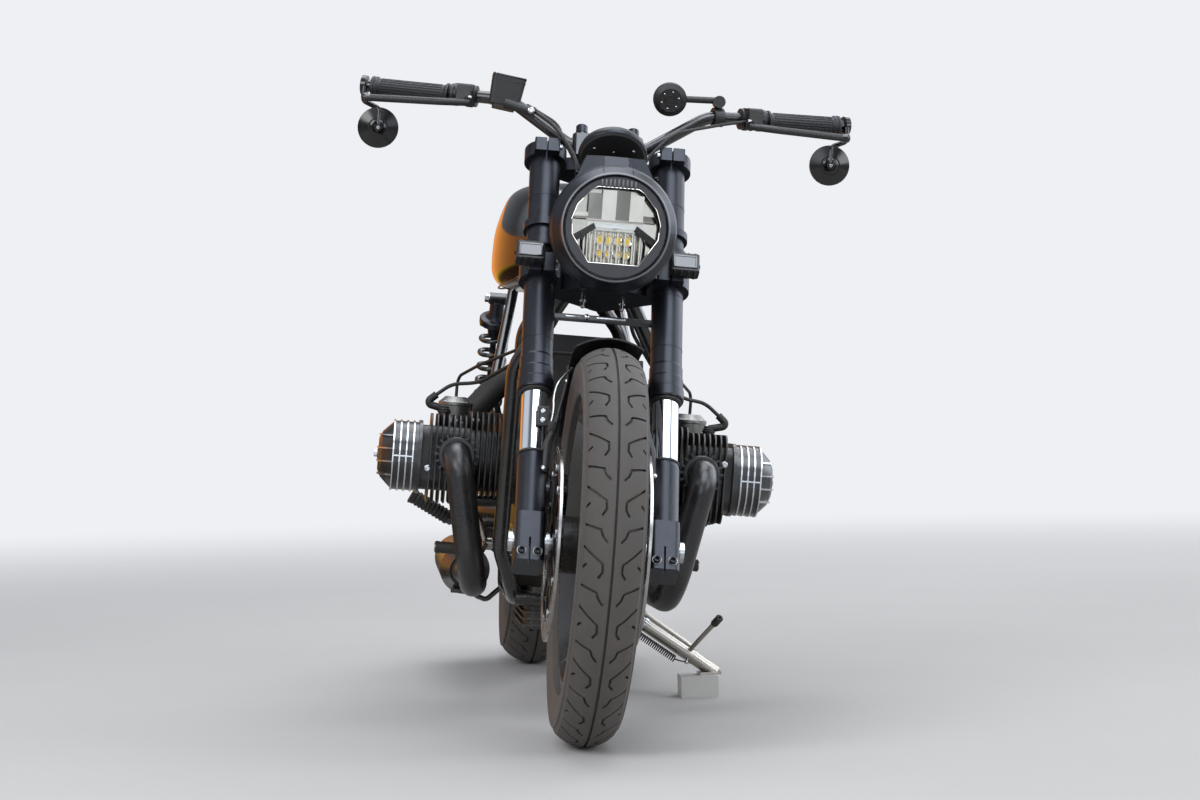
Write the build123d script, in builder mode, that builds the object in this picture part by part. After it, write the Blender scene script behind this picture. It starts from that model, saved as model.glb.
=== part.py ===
from build123d import *
import os
from math import acos, atan2, cos, degrees, pi, radians, sin, tan

# Flat-twin custom motorcycle with shaft drive, parked on its side stand.
# Everything is drawn upright in the bike's own frame: the front axle is over y = 0,
# the nose points to -Y, +X is the rider's left and the ground is z = 0.
# The last lines lean the whole machine onto its stand.

# Driving dimensions, mm and degrees
WHEELBASE = 1450
LEAN = 5.6
RAKE = 28.0
TRAIL = 120
FRONT_TYRE_R, FRONT_TYRE_W = 325, 104
REAR_TYRE_R, REAR_TYRE_W = 333, 130
BEAD_R = 228.6
FRONT_RIM_W, REAR_RIM_W = 64, 84
HEAD_Z, CLAMP_GAP = 984.6, 239
LEG_X = 110
LEG_R = 27
SLIDER_R = 22.5
AXLE_R = 12.5
AXLE_BORE_R = 8
DISC_R, DISC_X, DISC_T = 160, 72, 5
LAMP_R, SHELL_R, GLASS_R = 91, 107, 84
BAR_R = 11
GRIP_IN_X, GRIP_OUT_X, GRIP_R = 286, 428, 15.5
CRANK_Z = 440
CYL_STAGGER = 20
CYL_X0, HEAD_X0, COVER_X0, COVER_X1 = 130, 196, 284, 362
FIN_PITCH, FIN_T = 10.2, 2.8
PORT_X, PORT_Z = 221, 449
PIPE_R = 25
PIPE_RUN_X, PIPE_RUN_Z = 168, 219
SILENCER_X, SILENCER_Z, SILENCER_R = 170, 214, 50
RAIL_X, RAIL_Z, RAIL_R = 97, 200, 14
DOWN_X = 134
PIVOT_Z = 330
ARM_X, ARM_R = -130, 34
STAND_X, STAND_Z = 124, 176.5
FOOT_X, FOOT_Z = 294, 54
BLOCK_X, BLOCK_H, BLOCK_W, BLOCK_D = 276, 40, 70, 66
RUN_CLEAR = 5
FIT_CLEAR = 0.5
SOFT_CLEAR = 0.3

# Lengthwise places that follow the wheelbase
CRANK_Y = 0.4138 * WHEELBASE
PIVOT_Y = 0.6517 * WHEELBASE
TANK_Y0, TANK_Y1 = CRANK_Y - 164, PIVOT_Y - 93
SEAT_Y0, SEAT_Y1 = TANK_Y1 + 5, WHEELBASE - 44
SILENCER_Y0, SILENCER_Y1 = PIVOT_Y + 15, WHEELBASE + 50
BOX_Y = PIVOT_Y - 48
STAND_PIVOT = (STAND_X, CRANK_Y + 90, STAND_Z)
STAND_FOOT = (FOOT_X, CRANK_Y + 90, FOOT_Z)

SIN_R, COS_R = sin(radians(RAKE)), cos(radians(RAKE))
CLAMP_OFFSET = FRONT_TYRE_R * SIN_R - TRAIL * COS_R
CLAMP_TOP_S = (HEAD_Z - FRONT_TYRE_R) / COS_R
CLAMP_LOW_S = CLAMP_TOP_S - CLAMP_GAP

# FORK stands on the axle with its normal up the legs, and its y runs square to them, rearwards
FORK = Plane(origin=(0, 0, FRONT_TYRE_R), x_dir=(1, 0, 0), z_dir=(0, SIN_R, COS_R))
STEM = Plane(origin=FORK.from_local_coords((0, CLAMP_OFFSET, 0)), x_dir=(1, 0, 0), z_dir=FORK.z_dir)
LAMP = Plane(origin=FORK.from_local_coords((0, -170, CLAMP_TOP_S - 240)), x_dir=(1, 0, 0), z_dir=(0, -1, 0))

# The tyres stand on the floor with the round of their tread, so leaning lifts the centre line a little
CROWN_R = REAR_TYRE_W / 2 * (0.86 ** 2 + 0.36 ** 2) / (2 * 0.36)
PARKED = Location((0, 0, CROWN_R * (1 - cos(radians(LEAN))))) * Location((0, 0, 0), (0, LEAN, 0))
FLOOR = Plane(PARKED.inverse())


def on_fork(x, back, up):
    """Gives the point at x, `back` square behind the leg line and `up` along it from the axle."""
    return FORK.from_local_coords((x, back, up))


def on_head(x, back, up):
    """Gives the same, with `up` counted from the middle of the top clamp."""
    return FORK.from_local_coords((x, back, CLAMP_TOP_S + up))


def leg_plane(side):
    """Gives the plane that one fork leg stands on, its normal up the leg."""
    return Plane(origin=on_fork(side * LEG_X, 0, 0), x_dir=(1, 0, 0), z_dir=FORK.z_dir)


def bends_for(points, bend):
    """Gives each inner corner the wanted bend, or the largest that its two runs leave room for."""
    corners = [Vector(*p) for p in points]
    radii = []
    for before, here, after in zip(corners, corners[1:], corners[2:]):
        turn = (here - before).get_angle(after - here)
        room = 0.45 * min((here - before).length, (after - here).length) / tan(radians(turn) / 2)
        radii.append(min(bend, room))
    return radii


def rod(points, radius, bend=60.0, bore=0.0, mode=Mode.ADD):
    """Bends a round bar, or a tube with a bore, along straight runs joined by arcs."""
    points = [Vector(*p) for p in points]
    with BuildLine() as route:
        if len(points) > 2:
            FilletPolyline(*points, radius=bends_for(points, bend))
        else:
            Line(*points)
    with BuildSketch(Plane(origin=route.line @ 0, z_dir=route.line % 0)) as section:
        Circle(radius)
        if bore:
            Circle(bore, mode=Mode.SUBTRACT)
    sweep(sections=section.sketch, path=route.line, mode=mode)


def turned(base, profile, mode=Mode.ADD):
    """Turns a closed outline of (radius, height) corners about the normal of base."""
    flat = Plane(origin=base.origin, x_dir=base.x_dir, z_dir=base.x_dir.cross(base.z_dir))
    with BuildSketch(flat) as section:
        with BuildLine():
            Polyline(*profile, close=True)
        make_face()
    revolve(section.sketch, axis=Axis(base.origin, base.z_dir), mode=mode)


def disc(base, radius, start, end, mode=Mode.ADD):
    """Makes a round plate or pin about the normal of base, from height start to height end."""
    with BuildSketch(base.offset(start)) as section:
        Circle(radius)
    extrude(section.sketch, amount=end - start, mode=mode)


def block(base, width, depth, start, end, at=(0, 0), corner=0.0, mode=Mode.ADD):
    """Makes a bar of rounded oblong section on base, from height start to height end."""
    with BuildSketch(base.offset(start)) as section:
        with Locations(at):
            if corner:
                RectangleRounded(width, depth, corner)
            else:
                Rectangle(width, depth)
    extrude(section.sketch, amount=end - start, mode=mode)


def plate(base, outline, start, end, mode=Mode.ADD):
    """Cuts a plate of straight-edged outline on base, from height start to height end."""
    with BuildSketch(base.offset(start)) as section:
        with BuildLine():
            Polyline(*outline, close=True)
        make_face()
    extrude(section.sketch, amount=end - start, mode=mode)


def across(y, z, x=0.0):
    """Gives the plane square to the axle direction at (y, z), its normal to the rider's left."""
    return Plane(origin=(x, y, z), x_dir=(0, 1, 0), z_dir=(1, 0, 0))


def tyre(y, radius, width, rim_width):
    """Turns a hollow tyre: round tread, bulged sidewalls and beads seated in the rim."""
    half, seat, side = width / 2, rim_width / 2, radius - BEAD_R
    wall = 0.09 * side
    shoulder_r, bulge_r, heel_r = radius - 0.36 * half, BEAD_R + 0.62 * side, BEAD_R + 0.155 * side
    inner_x, inner_r = 0.76 * half - wall / 2, shoulder_r - 0.8 * wall
    flat = Plane(origin=(0, y, radius), x_dir=(1, 0, 0), z_dir=(0, -1, 0))
    with BuildSketch(flat) as section:
        with BuildLine():
            ThreePointArc((-0.86 * half, shoulder_r), (0, radius), (0.86 * half, shoulder_r))
            ThreePointArc((0.86 * half, shoulder_r), (half, bulge_r), (seat, heel_r))
            Polyline((seat, heel_r), (seat, BEAD_R), (seat - wall, BEAD_R), (seat - wall, heel_r))
            ThreePointArc((seat - wall, heel_r), (half - wall, bulge_r), (inner_x, inner_r))
            ThreePointArc((inner_x, inner_r), (0, radius - 1.3 * wall), (-inner_x, inner_r))
            ThreePointArc((-inner_x, inner_r), (wall - half, bulge_r), (wall - seat, heel_r))
            Polyline((wall - seat, heel_r), (wall - seat, BEAD_R), (-seat, BEAD_R), (-seat, heel_r))
            ThreePointArc((-seat, heel_r), (-half, bulge_r), (-0.86 * half, shoulder_r))
        make_face()
    revolve(section.sketch, axis=Axis((0, y, radius), (1, 0, 0)))


def rim(y, radius, rim_width):
    """Turns the rim: flanges, bead seats and the dropped well between them."""
    seat = rim_width / 2
    axle = across(y, radius)
    outline = [(BEAD_R + 13, -seat - 6), (BEAD_R + 13, -seat), (BEAD_R, -seat), (BEAD_R, -seat + 12),
               (BEAD_R - 20, -seat + 20), (BEAD_R - 20, seat - 20), (BEAD_R, seat - 12), (BEAD_R, seat),
               (BEAD_R + 13, seat), (BEAD_R + 13, seat + 6), (BEAD_R - 6, seat + 6), (BEAD_R - 27, seat - 18),
               (BEAD_R - 27, -seat + 18), (BEAD_R - 6, -seat - 6)]
    turned(axle, outline)


def spokes(y, radius, pairs, hub_r, thick, spread):
    """Casts pairs of tapered spokes from the hub to the rim."""
    axle = across(y, radius)
    reach = BEAD_R - 24
    for pair in range(pairs):
        for side in (-1, 1):
            foot = radians(360 / pairs * pair + side * 9)
            head = radians(360 / pairs * pair + side * spread)
            start = Vector(cos(foot), sin(foot)) * hub_r
            end = Vector(cos(head), sin(head)) * reach
            along = (end - start).normalized()
            square = Vector(-along.Y, along.X)
            outline = [start - square * 13, end - square * 9, end + square * 9, start + square * 13]
            plate(axle, [(p.X, p.Y) for p in outline], -thick / 2, thick / 2)


# Front wheel
with BuildPart() as front_tyre:
    tyre(0, FRONT_TYRE_R, FRONT_TYRE_W, FRONT_RIM_W)

HUB_X = DISC_X - DISC_T / 2
with BuildPart() as front_wheel:
    rim(0, FRONT_TYRE_R, FRONT_RIM_W)
    spokes(0, FRONT_TYRE_R, 5, 40, 20, 20)
    turned(across(0, FRONT_TYRE_R), [(0, -HUB_X), (58, -HUB_X), (58, -HUB_X + 7), (47, -HUB_X + 12),
                                     (47, HUB_X - 12), (58, HUB_X - 7), (58, HUB_X), (0, HUB_X)])
    disc(across(0, FRONT_TYRE_R), AXLE_R + FIT_CLEAR, -HUB_X - 1, HUB_X + 1, mode=Mode.SUBTRACT)

with BuildPart() as front_discs:
    for side in (-1, 1):
        face = across(0, FRONT_TYRE_R, side * DISC_X - DISC_T / 2)
        with BuildSketch(face) as rotor:
            Circle(DISC_R)
            Circle(DISC_R - 34, mode=Mode.SUBTRACT)
            with PolarLocations(93, 6, start_angle=15):
                Rectangle(72, 16)
            Circle(60)
            Circle(36, mode=Mode.SUBTRACT)
        extrude(rotor.sketch, amount=DISC_T)

# Fork
with BuildPart() as front_axle:
    disc(across(0, FRONT_TYRE_R), AXLE_R, -LEG_X - 27, LEG_X + 27)
    for side in (-1, 1):
        disc(across(0, FRONT_TYRE_R, side * (DISC_X + DISC_T / 2 + 2.5)), 18, 0, side * 6)
        disc(across(0, FRONT_TYRE_R, side * (LEG_X + 27)), 17, 0, side * 7)
    disc(across(0, FRONT_TYRE_R), AXLE_BORE_R, -LEG_X - 35, LEG_X + 35, mode=Mode.SUBTRACT)

FOOT_TOP_S, SEAL_S, OUTER_TOP_S = 157, 277, CLAMP_TOP_S + 15
with BuildPart() as fork_bottoms:
    for side in (-1, 1):
        leg = leg_plane(side)
        turned(leg, [(0, 20), (25, 20), (25, FOOT_TOP_S - 8), (23.5, FOOT_TOP_S), (0, FOOT_TOP_S)])
        block(leg, 50, 62, -45, 42, corner=10)
        block(leg, 30, 30, 36, FOOT_TOP_S - 30, at=(0, 18), corner=6)
        block(leg.offset(-45), 3, 20, 0, 40, at=(0, -24), mode=Mode.SUBTRACT)
        disc(leg, SLIDER_R, FOOT_TOP_S - 50, FOOT_TOP_S + 1, mode=Mode.SUBTRACT)
    disc(across(0, FRONT_TYRE_R), AXLE_R, -200, 200, mode=Mode.SUBTRACT)

with BuildPart() as fork_inner_tubes:
    for side in (-1, 1):
        leg = leg_plane(side)
        disc(leg, SLIDER_R, FOOT_TOP_S - 50, SEAL_S + 50)

with BuildPart() as fork_outer_tubes:
    for side in (-1, 1):
        leg = leg_plane(side)
        turned(leg, [(0, SEAL_S), (30, SEAL_S), (31, SEAL_S + 3), (31, SEAL_S + 20), (29.5, SEAL_S + 22),
                     (29.5, SEAL_S + 40), (28.3, SEAL_S + 43), (28.3, SEAL_S + 62), (LEG_R, SEAL_S + 66),
                     (LEG_R, OUTER_TOP_S), (23, OUTER_TOP_S + 4), (9, OUTER_TOP_S + 4), (8, OUTER_TOP_S + 8),
                     (0, OUTER_TOP_S + 8)])
        disc(leg, SLIDER_R, SEAL_S - 1, SEAL_S + 50, mode=Mode.SUBTRACT)


def yoke(middle, thick, stem_r, lug):
    """Mills one fork clamp: split pinch lugs round the legs and a bridge to the steering stem."""
    level = FORK.offset(middle - thick / 2)
    with BuildSketch(level) as shape:
        with Locations((-LEG_X, 0), (LEG_X, 0)):
            Circle(LEG_R + 10)
        with Locations((-LEG_X, -LEG_R - 6), (LEG_X, -LEG_R - 6)):
            RectangleRounded(lug, 24, 3)
        with Locations((0, CLAMP_OFFSET)):
            Circle(stem_r + 14)
        with BuildLine():
            Polyline((-LEG_X, 24), (-40, 4), (40, 4), (LEG_X, 24), (LEG_X, 34), (24, CLAMP_OFFSET + 26),
                     (-24, CLAMP_OFFSET + 26), (-LEG_X, 34), close=True)
        make_face()
        with Locations((-LEG_X, 0), (LEG_X, 0)):
            Circle(LEG_R, mode=Mode.SUBTRACT)
        with Locations((-LEG_X, -LEG_R - 10), (LEG_X, -LEG_R - 10)):
            Rectangle(2.5, 34, mode=Mode.SUBTRACT)
    extrude(shape.sketch, amount=thick)


STEM_R = 16
with BuildPart() as upper_clamp:
    yoke(CLAMP_TOP_S, 26, 20, 44)
    disc(STEM, STEM_R, CLAMP_TOP_S - 14, CLAMP_TOP_S + 14, mode=Mode.SUBTRACT)

with BuildPart() as lower_clamp:
    yoke(CLAMP_LOW_S, 36, 20, 46)
    disc(STEM, STEM_R, CLAMP_LOW_S - 18, CLAMP_TOP_S + 13)
    disc(STEM, 20, CLAMP_TOP_S + 13, CLAMP_TOP_S + 23)

with BuildPart() as front_calipers:
    for side in (-1, 1):
        seat = across(0, FRONT_TYRE_R, side * DISC_X)
        turn = Plane(origin=seat.origin, x_dir=(0, cos(radians(24)), sin(radians(24))), z_dir=(1, 0, 0))
        block(turn, 62, 104, -26, 26, at=(DISC_R - 22, 0), corner=14)
        block(turn, 90, 130, -DISC_T / 2 - 2, DISC_T / 2 + 2, at=(DISC_R - 38, 0), mode=Mode.SUBTRACT)
    add(fork_bottoms.part, mode=Mode.SUBTRACT)

# Front mudguard
GUARD_R, GUARD_W = FRONT_TYRE_R + 14, 112
with BuildPart() as front_fender:
    flat = Plane(origin=(0, 0, FRONT_TYRE_R), x_dir=(1, 0, 0), z_dir=(0, -1, 0))
    with BuildSketch(flat) as skin:
        with BuildLine():
            ThreePointArc((-GUARD_W / 2, GUARD_R - 16), (0, GUARD_R), (GUARD_W / 2, GUARD_R - 16))
            Line((GUARD_W / 2, GUARD_R - 16), (GUARD_W / 2, GUARD_R - 13))
            ThreePointArc((GUARD_W / 2, GUARD_R - 13), (0, GUARD_R + 3), (-GUARD_W / 2, GUARD_R - 13))
            Line((-GUARD_W / 2, GUARD_R - 13), (-GUARD_W / 2, GUARD_R - 16))
        make_face()
    revolve(skin.sketch, axis=Axis((0, 0, FRONT_TYRE_R), (-1, 0, 0)), revolution_arc=58)
    for side in (-1, 1):
        rod([on_fork(side * 92, -12, FOOT_TOP_S - 35), on_fork(side * 87, -16, FOOT_TOP_S + 16),
             on_fork(side * 73, -17, FOOT_TOP_S + 65)], 7, bend=20)
        rod([on_fork(side * 74, -17, FOOT_TOP_S + 59), on_fork(side * 57.5, -10, GUARD_R - 39),
             on_fork(side * 57, -8, GUARD_R - 12)], 3.5, bend=30)
    add(fork_bottoms.part, mode=Mode.SUBTRACT)
    add(fork_inner_tubes.part, mode=Mode.SUBTRACT)

# Headlamp
SHELL_TURN = [(0, 0), (LAMP_R, 0), (LAMP_R + 2, -10), (SHELL_R - 3, -26), (SHELL_R, -34), (SHELL_R, -46),
              (SHELL_R - 8, -86), (SHELL_R - 19, -120), (61, -146), (0, -152)]
with BuildPart() as headlight_shell:
    turned(LAMP, SHELL_TURN)
    turned(LAMP, [(GLASS_R, -1), (LAMP_R, -1), (LAMP_R, 7), (LAMP_R - 3, 10), (GLASS_R + 1, 6)])
    turned(LAMP, [(0, 1), (GLASS_R, 1), (GLASS_R, -6), (GLASS_R - 7, -34), (0, -34)], mode=Mode.SUBTRACT)

with BuildPart() as headlight_lens:
    turned(LAMP, [(0, 8), (GLASS_R / 2, 6.5), (GLASS_R, 1), (GLASS_R, -1.5), (0, -1.5)])


def window(place, reach, grow):
    """Draws the reflector's window: a round cut flat at its top and bottom, with slanted lower corners."""
    edge = [(-80, 67 + grow), (80, 67 + grow), (80, -10), (40 + grow, -62 - grow), (-40 - grow, -62 - grow),
            (-80, -10)]
    with BuildSketch(place) as shape:
        Circle(reach)
        with BuildLine():
            Polyline(*edge, close=True)
        make_face(mode=Mode.INTERSECT)
    return shape.sketch


with BuildPart() as lamp_mask:
    disc(LAMP, GLASS_R, -6, -4)
    extrude(window(LAMP.offset(-7), 75, 0), amount=5, mode=Mode.SUBTRACT)
    for side in (-1, 1):
        plate(LAMP, [(side * 32, -3), (side * 36, 6), (side * 76, -20), (side * 71, -31)], -9, -4)
    for n in range(9):
        block(LAMP, 3.2, 11 - 0.6 * abs(n - 4), -4, -2, at=((n - 4) * 7.4, 75.5 - 0.5 * abs(n - 4)))

with BuildPart() as lamp_reflector:
    extrude(window(LAMP.offset(-34), 74, 1), amount=3)
    block(LAMP, 98, 19, -32, -11, at=(0, 4), corner=3)
    for n in range(8):
        block(LAMP, 2.4, 52, -32, -14, at=((n - 3.5) * 12.5, -32))
    extrude(window(LAMP.offset(-35), 74, 1), amount=26, mode=Mode.INTERSECT)

with BuildPart() as lamp_cowl:
    mid = LAMP.origin
    wide = [(-86, 126), (-86, 40), (-26, 14), (26, 14), (86, 40), (86, 126)]
    slim = [(-50, 160), (-50, 92), (-20, 80), (20, 80), (50, 92), (50, 160)]
    with BuildSketch(Plane.XY.offset(mid.Z + 40)) as foot:
        with BuildLine():
            Polyline(*[(x, mid.Y + y) for x, y in wide], close=True)
        make_face()
    with BuildSketch(Plane.XY.offset(mid.Z + 126)) as head:
        with BuildLine():
            Polyline(*[(x, mid.Y + y) for x, y in slim], close=True)
        make_face()
    loft(sections=[foot.sketch, head.sketch], ruled=True)
    turned(LAMP, SHELL_TURN, mode=Mode.SUBTRACT)
    for side in (-1, 1):
        leg = leg_plane(side)
        disc(leg, LEG_R + 3, 500, CLAMP_TOP_S + 13, mode=Mode.SUBTRACT)

BRACKET_S = (CLAMP_TOP_S - 196, CLAMP_TOP_S - 155)
with BuildPart() as lamp_brackets:
    for side in (-1, 1):
        leg = leg_plane(side)
        for level in BRACKET_S:
            disc(leg, LEG_R + 6, level, level + 14)
            block(leg, 12, 66, level, level + 14, at=(-side * 31, -36), corner=4)
        block(leg, 8, 26, BRACKET_S[0], BRACKET_S[1] + 14, at=(-side * 33, -54))
        disc(leg, LEG_R, BRACKET_S[0] - 20, BRACKET_S[1] + 40, mode=Mode.SUBTRACT)
    turned(LAMP, SHELL_TURN, mode=Mode.SUBTRACT)

INDICATOR_S = CLAMP_LOW_S + 8
with BuildPart() as front_indicators:
    for side in (-1, 1):
        leg = leg_plane(side)
        block(leg, 50, 28, INDICATOR_S - 16, INDICATOR_S + 17, at=(side * 22, -LEG_R - 25), corner=5)
        stalk = on_fork(side * (LEG_X + 10), -LEG_R - 15, INDICATOR_S)
        rod([stalk, on_fork(side * (LEG_X + 4), 0, INDICATOR_S)], 6)
        disc(leg, LEG_R, INDICATOR_S - 40, INDICATOR_S + 40, mode=Mode.SUBTRACT)
    add(lower_clamp.part, mode=Mode.SUBTRACT)

with BuildPart() as instrument:
    clock = Plane(origin=on_head(0, -85, -37), x_dir=(1, 0, 0), z_dir=(0, sin(radians(42)), cos(radians(42))))
    turned(clock, [(0, -12), (54, -12), (58, -9), (59, 0), (57, 7), (52, 7), (52, 4), (0, 4)])
    rod([clock.origin + Vector(0, 4, -7), clock.origin + Vector(0, 98, -8)], 8)
    add(upper_clamp.part, mode=Mode.SUBTRACT)

# Handlebar
BAR_HALF = [on_head(60, 18, 38), on_head(178, -6, 112), on_head(GRIP_OUT_X + 4, 48, 154)]
with BuildPart() as handlebar:
    left = [Vector(*p) for p in BAR_HALF]
    right = [Vector(-p.X, p.Y, p.Z) for p in left]
    rod(right[::-1] + left, BAR_R, bend=80)
    for side in (-1, 1):
        post = Plane(origin=on_head(side * 46, 20, 0), x_dir=(1, 0, 0), z_dir=FORK.z_dir)
        block(post, 34, 42, 13, 58, corner=8)
        disc(post, 9.5, 58, 76)

BAR_RUN = (Vector(*BAR_HALF[2]) - Vector(*BAR_HALF[1])).normalized()


def on_bar(side, x):
    """Gives the bar's centre point at |x| on its outer run, on one side."""
    start = Vector(*BAR_HALF[1])
    here = start + BAR_RUN * ((x - start.X) / BAR_RUN.X)
    return Vector(side * here.X, here.Y, here.Z)


def bar_plane(side, x):
    """Gives the plane square to the bar at |x|, its normal outwards and its x forwards."""
    out = Vector(side * BAR_RUN.X, BAR_RUN.Y, BAR_RUN.Z)
    ahead = Vector(0, -1, 0)
    return Plane(origin=on_bar(side, x), x_dir=ahead - out * ahead.dot(out), z_dir=out)


GRIP_LEN = GRIP_OUT_X - GRIP_IN_X
with BuildPart() as grips:
    for side in (-1, 1):
        turned(bar_plane(side, GRIP_IN_X), [(BAR_R, 0), (GRIP_R + 3, 0), (GRIP_R + 3, 5), (GRIP_R, 8),
                                            (GRIP_R, GRIP_LEN - 12), (GRIP_R + 2.5, GRIP_LEN - 10),
                                            (GRIP_R + 2.5, GRIP_LEN), (BAR_R, GRIP_LEN)])

with BuildPart() as bar_controls:
    for side in (-1, 1):
        here = bar_plane(side, 236)
        disc(here, 19, 0, 46)
        block(here, 40, 34, 4, 30, at=(16, 0), corner=5)
        disc(here, BAR_R, -1, 60, mode=Mode.SUBTRACT)
        lever = [on_bar(side, 250) + Vector(0, -36, -16), on_bar(side, 300) + Vector(0, -50, -21),
                 on_bar(side, GRIP_OUT_X + 2) + Vector(0, -42, -26)]
        rod(lever, 6.5, bend=60)
        rod([on_bar(side, 254) + Vector(0, -22, -8), lever[0] + Vector(side * 2, -2, 0)], 9)

with BuildPart() as brake_reservoir:
    tilt = radians(7.7)
    lift = Plane(origin=on_bar(-1, 187), x_dir=(cos(tilt), 0, -sin(tilt)), z_dir=(sin(tilt), 0, cos(tilt)))
    with BuildSketch(lift.offset(-12)) as low:
        RectangleRounded(54, 44, 6)
    with BuildSketch(lift.offset(38)) as high:
        RectangleRounded(60, 50, 6)
    loft(sections=[low.sketch, high.sketch], ruled=True)
    block(lift, 40, 40, -18, -8, corner=5)
    barrel = on_bar(-1, 187) + Vector(0, -20, -8)
    rod([barrel, barrel + Vector(53, -9, -14)], 9)
    disc(Plane(origin=barrel + Vector(46, -8, -12), x_dir=(1, 0, 0), z_dir=(0, -1, 0)), 7, 4, 14)
    add(handlebar.part, mode=Mode.SUBTRACT)

MIRROR_R, MIRROR_X = 36, 407
with BuildPart() as mirrors:
    for side in (-1, 1):
        end = on_bar(side, GRIP_OUT_X + 4)
        disc(bar_plane(side, GRIP_OUT_X + 4), GRIP_R + 2, 0, 9)
        face = Plane(origin=(side * MIRROR_X, end.Y - 34, end.Z - 77), x_dir=(1, 0, 0), z_dir=(0, 1, 0.1))
        turned(face, [(0, -9), (18, -9), (MIRROR_R, -3), (MIRROR_R, 4), (0, 4)])
        rod([end + Vector(side * 5, -14, -4), end + Vector(side * 5, -20, -30),
             Vector(side * MIRROR_X, end.Y - 40, end.Z - 44), face.origin + Vector(0, -8, 4)], 4.5, bend=12)

with BuildPart() as phone_mount:
    here = bar_plane(1, 194)
    disc(here, BAR_R + 6, -9, 9)
    disc(here, BAR_R, -10, 10, mode=Mode.SUBTRACT)
    base = on_bar(1, 194)
    rod([base + Vector(0, -2, 15), base + Vector(0, -8, 29), base + Vector(-76, -8, 26)], 6, bend=10)
    disc(Plane(origin=base + Vector(0, -8, 26), x_dir=(1, 0, 0), z_dir=(0, 1, 0)), 11, -9, 9)
    face = Plane(origin=base + Vector(-88, -8, 24), x_dir=(1, 0, 0), z_dir=(0, 1, 0.35))
    turned(face, [(0, -9), (22, -9), (30, -4), (30, 5), (26, 9), (0, 9)])
    add(handlebar.part, mode=Mode.SUBTRACT)

# Hoses and cables from the bar: each passes before the upper clamp and down behind the lamp to the lower one
CABLE_END = 17 - CLAMP_GAP
BAR_CABLES = (
    (3.5, ((-140, -18, 88), (-98, -54, 32), (-60, -48, -26), (-50, -20, -96), (-48, 18, CABLE_END))),
    (2.5, ((-148, -24, 92), (-92, -32, 52), (-84, -46, 12), (-36, -26, -70), (-32, 22, CABLE_END))),
    (2.8, ((244, -9, 106), (206, -16, 92), (108, -56, 36), (60, -50, -22), (46, -24, -88),
           (40, 20, CABLE_END))),
)
with BuildPart() as bar_cables:
    for thick, route in BAR_CABLES:
        rod([on_head(*point) for point in route], thick, bend=90)
    add(lower_clamp.part, mode=Mode.SUBTRACT)
    add(brake_reservoir.part, mode=Mode.SUBTRACT)
    add(bar_controls.part, mode=Mode.SUBTRACT)

# Frame
SEAT_RAIL_Z = 806
TUNNEL_HALF = 44
SHOCK_LOW = Vector(-137, WHEELBASE - 28, REAR_TYRE_R + 88)
SHOCK_TOP = Vector(-137, WHEELBASE - 222, SEAT_RAIL_Z - 38)
HEAD_R = 31
with BuildPart() as main_frame:
    disc(STEM, HEAD_R, CLAMP_LOW_S + 18 + RUN_CLEAR, CLAMP_TOP_S - 13 - RUN_CLEAR)
    rod([STEM.from_local_coords((0, 0, CLAMP_TOP_S - 92)), (0, CRANK_Y - 130, 850),
         (0, PIVOT_Y - 80, SEAT_RAIL_Z - 18)], 25, bend=90)
    for side in (-1, 1):
        rod([STEM.from_local_coords((side * 12, 0, CLAMP_TOP_S - 157)), (side * DOWN_X, CRANK_Y - 205, 615),
             (side * DOWN_X, CRANK_Y - 172, 290), (side * RAIL_X, CRANK_Y - 116, RAIL_Z),
             (side * RAIL_X, PIVOT_Y - 75, RAIL_Z), (side * RAIL_X, PIVOT_Y, PIVOT_Z - 60),
             (side * RAIL_X, PIVOT_Y - 20, 560),
             (side * RAIL_X, PIVOT_Y - 60, 700), (side * 12, PIVOT_Y - 74, SEAT_RAIL_Z - 6)], RAIL_R, bend=70)
    for y in (CRANK_Y - 130, PIVOT_Y - 75):
        rod([(-RAIL_X, y, RAIL_Z), (RAIL_X, y, RAIL_Z)], 11)
    disc(across(TANK_Y0 + 42, 846), 10, -TUNNEL_HALF, TUNNEL_HALF)
    disc(across(TANK_Y1 - 56, 814), 10, -TUNNEL_HALF, TUNNEL_HALF)
    disc(STEM, STEM_R + 1, CLAMP_LOW_S - 90, CLAMP_TOP_S + 60, mode=Mode.SUBTRACT)

with BuildPart() as rear_subframe:
    tail_y = WHEELBASE - 80
    rod([(-52, PIVOT_Y - 74, SEAT_RAIL_Z - 36), (-105, PIVOT_Y + 15, SEAT_RAIL_Z),
         (-105, tail_y, SEAT_RAIL_Z),
         (-60, tail_y + 70, SEAT_RAIL_Z), (60, tail_y + 70, SEAT_RAIL_Z), (105, tail_y, SEAT_RAIL_Z),
         (105, PIVOT_Y + 15, SEAT_RAIL_Z), (52, PIVOT_Y - 74, SEAT_RAIL_Z - 36)], 12)
    for side in (-1, 1):
        rod([(side * 99, PIVOT_Y - 6, 430), (side * 146, PIVOT_Y + 12, 560),
             (side * 106, SHOCK_TOP.Y - 24, SEAT_RAIL_Z - 10)], 11, bend=90)
    disc(across(SHOCK_TOP.Y, SHOCK_TOP.Z), 12, -154, -100)
    rod([(-108, SHOCK_TOP.Y, SHOCK_TOP.Z), (-105, SHOCK_TOP.Y + 4, SEAT_RAIL_Z)], 10)
    add(main_frame.part, mode=Mode.SUBTRACT)

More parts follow.
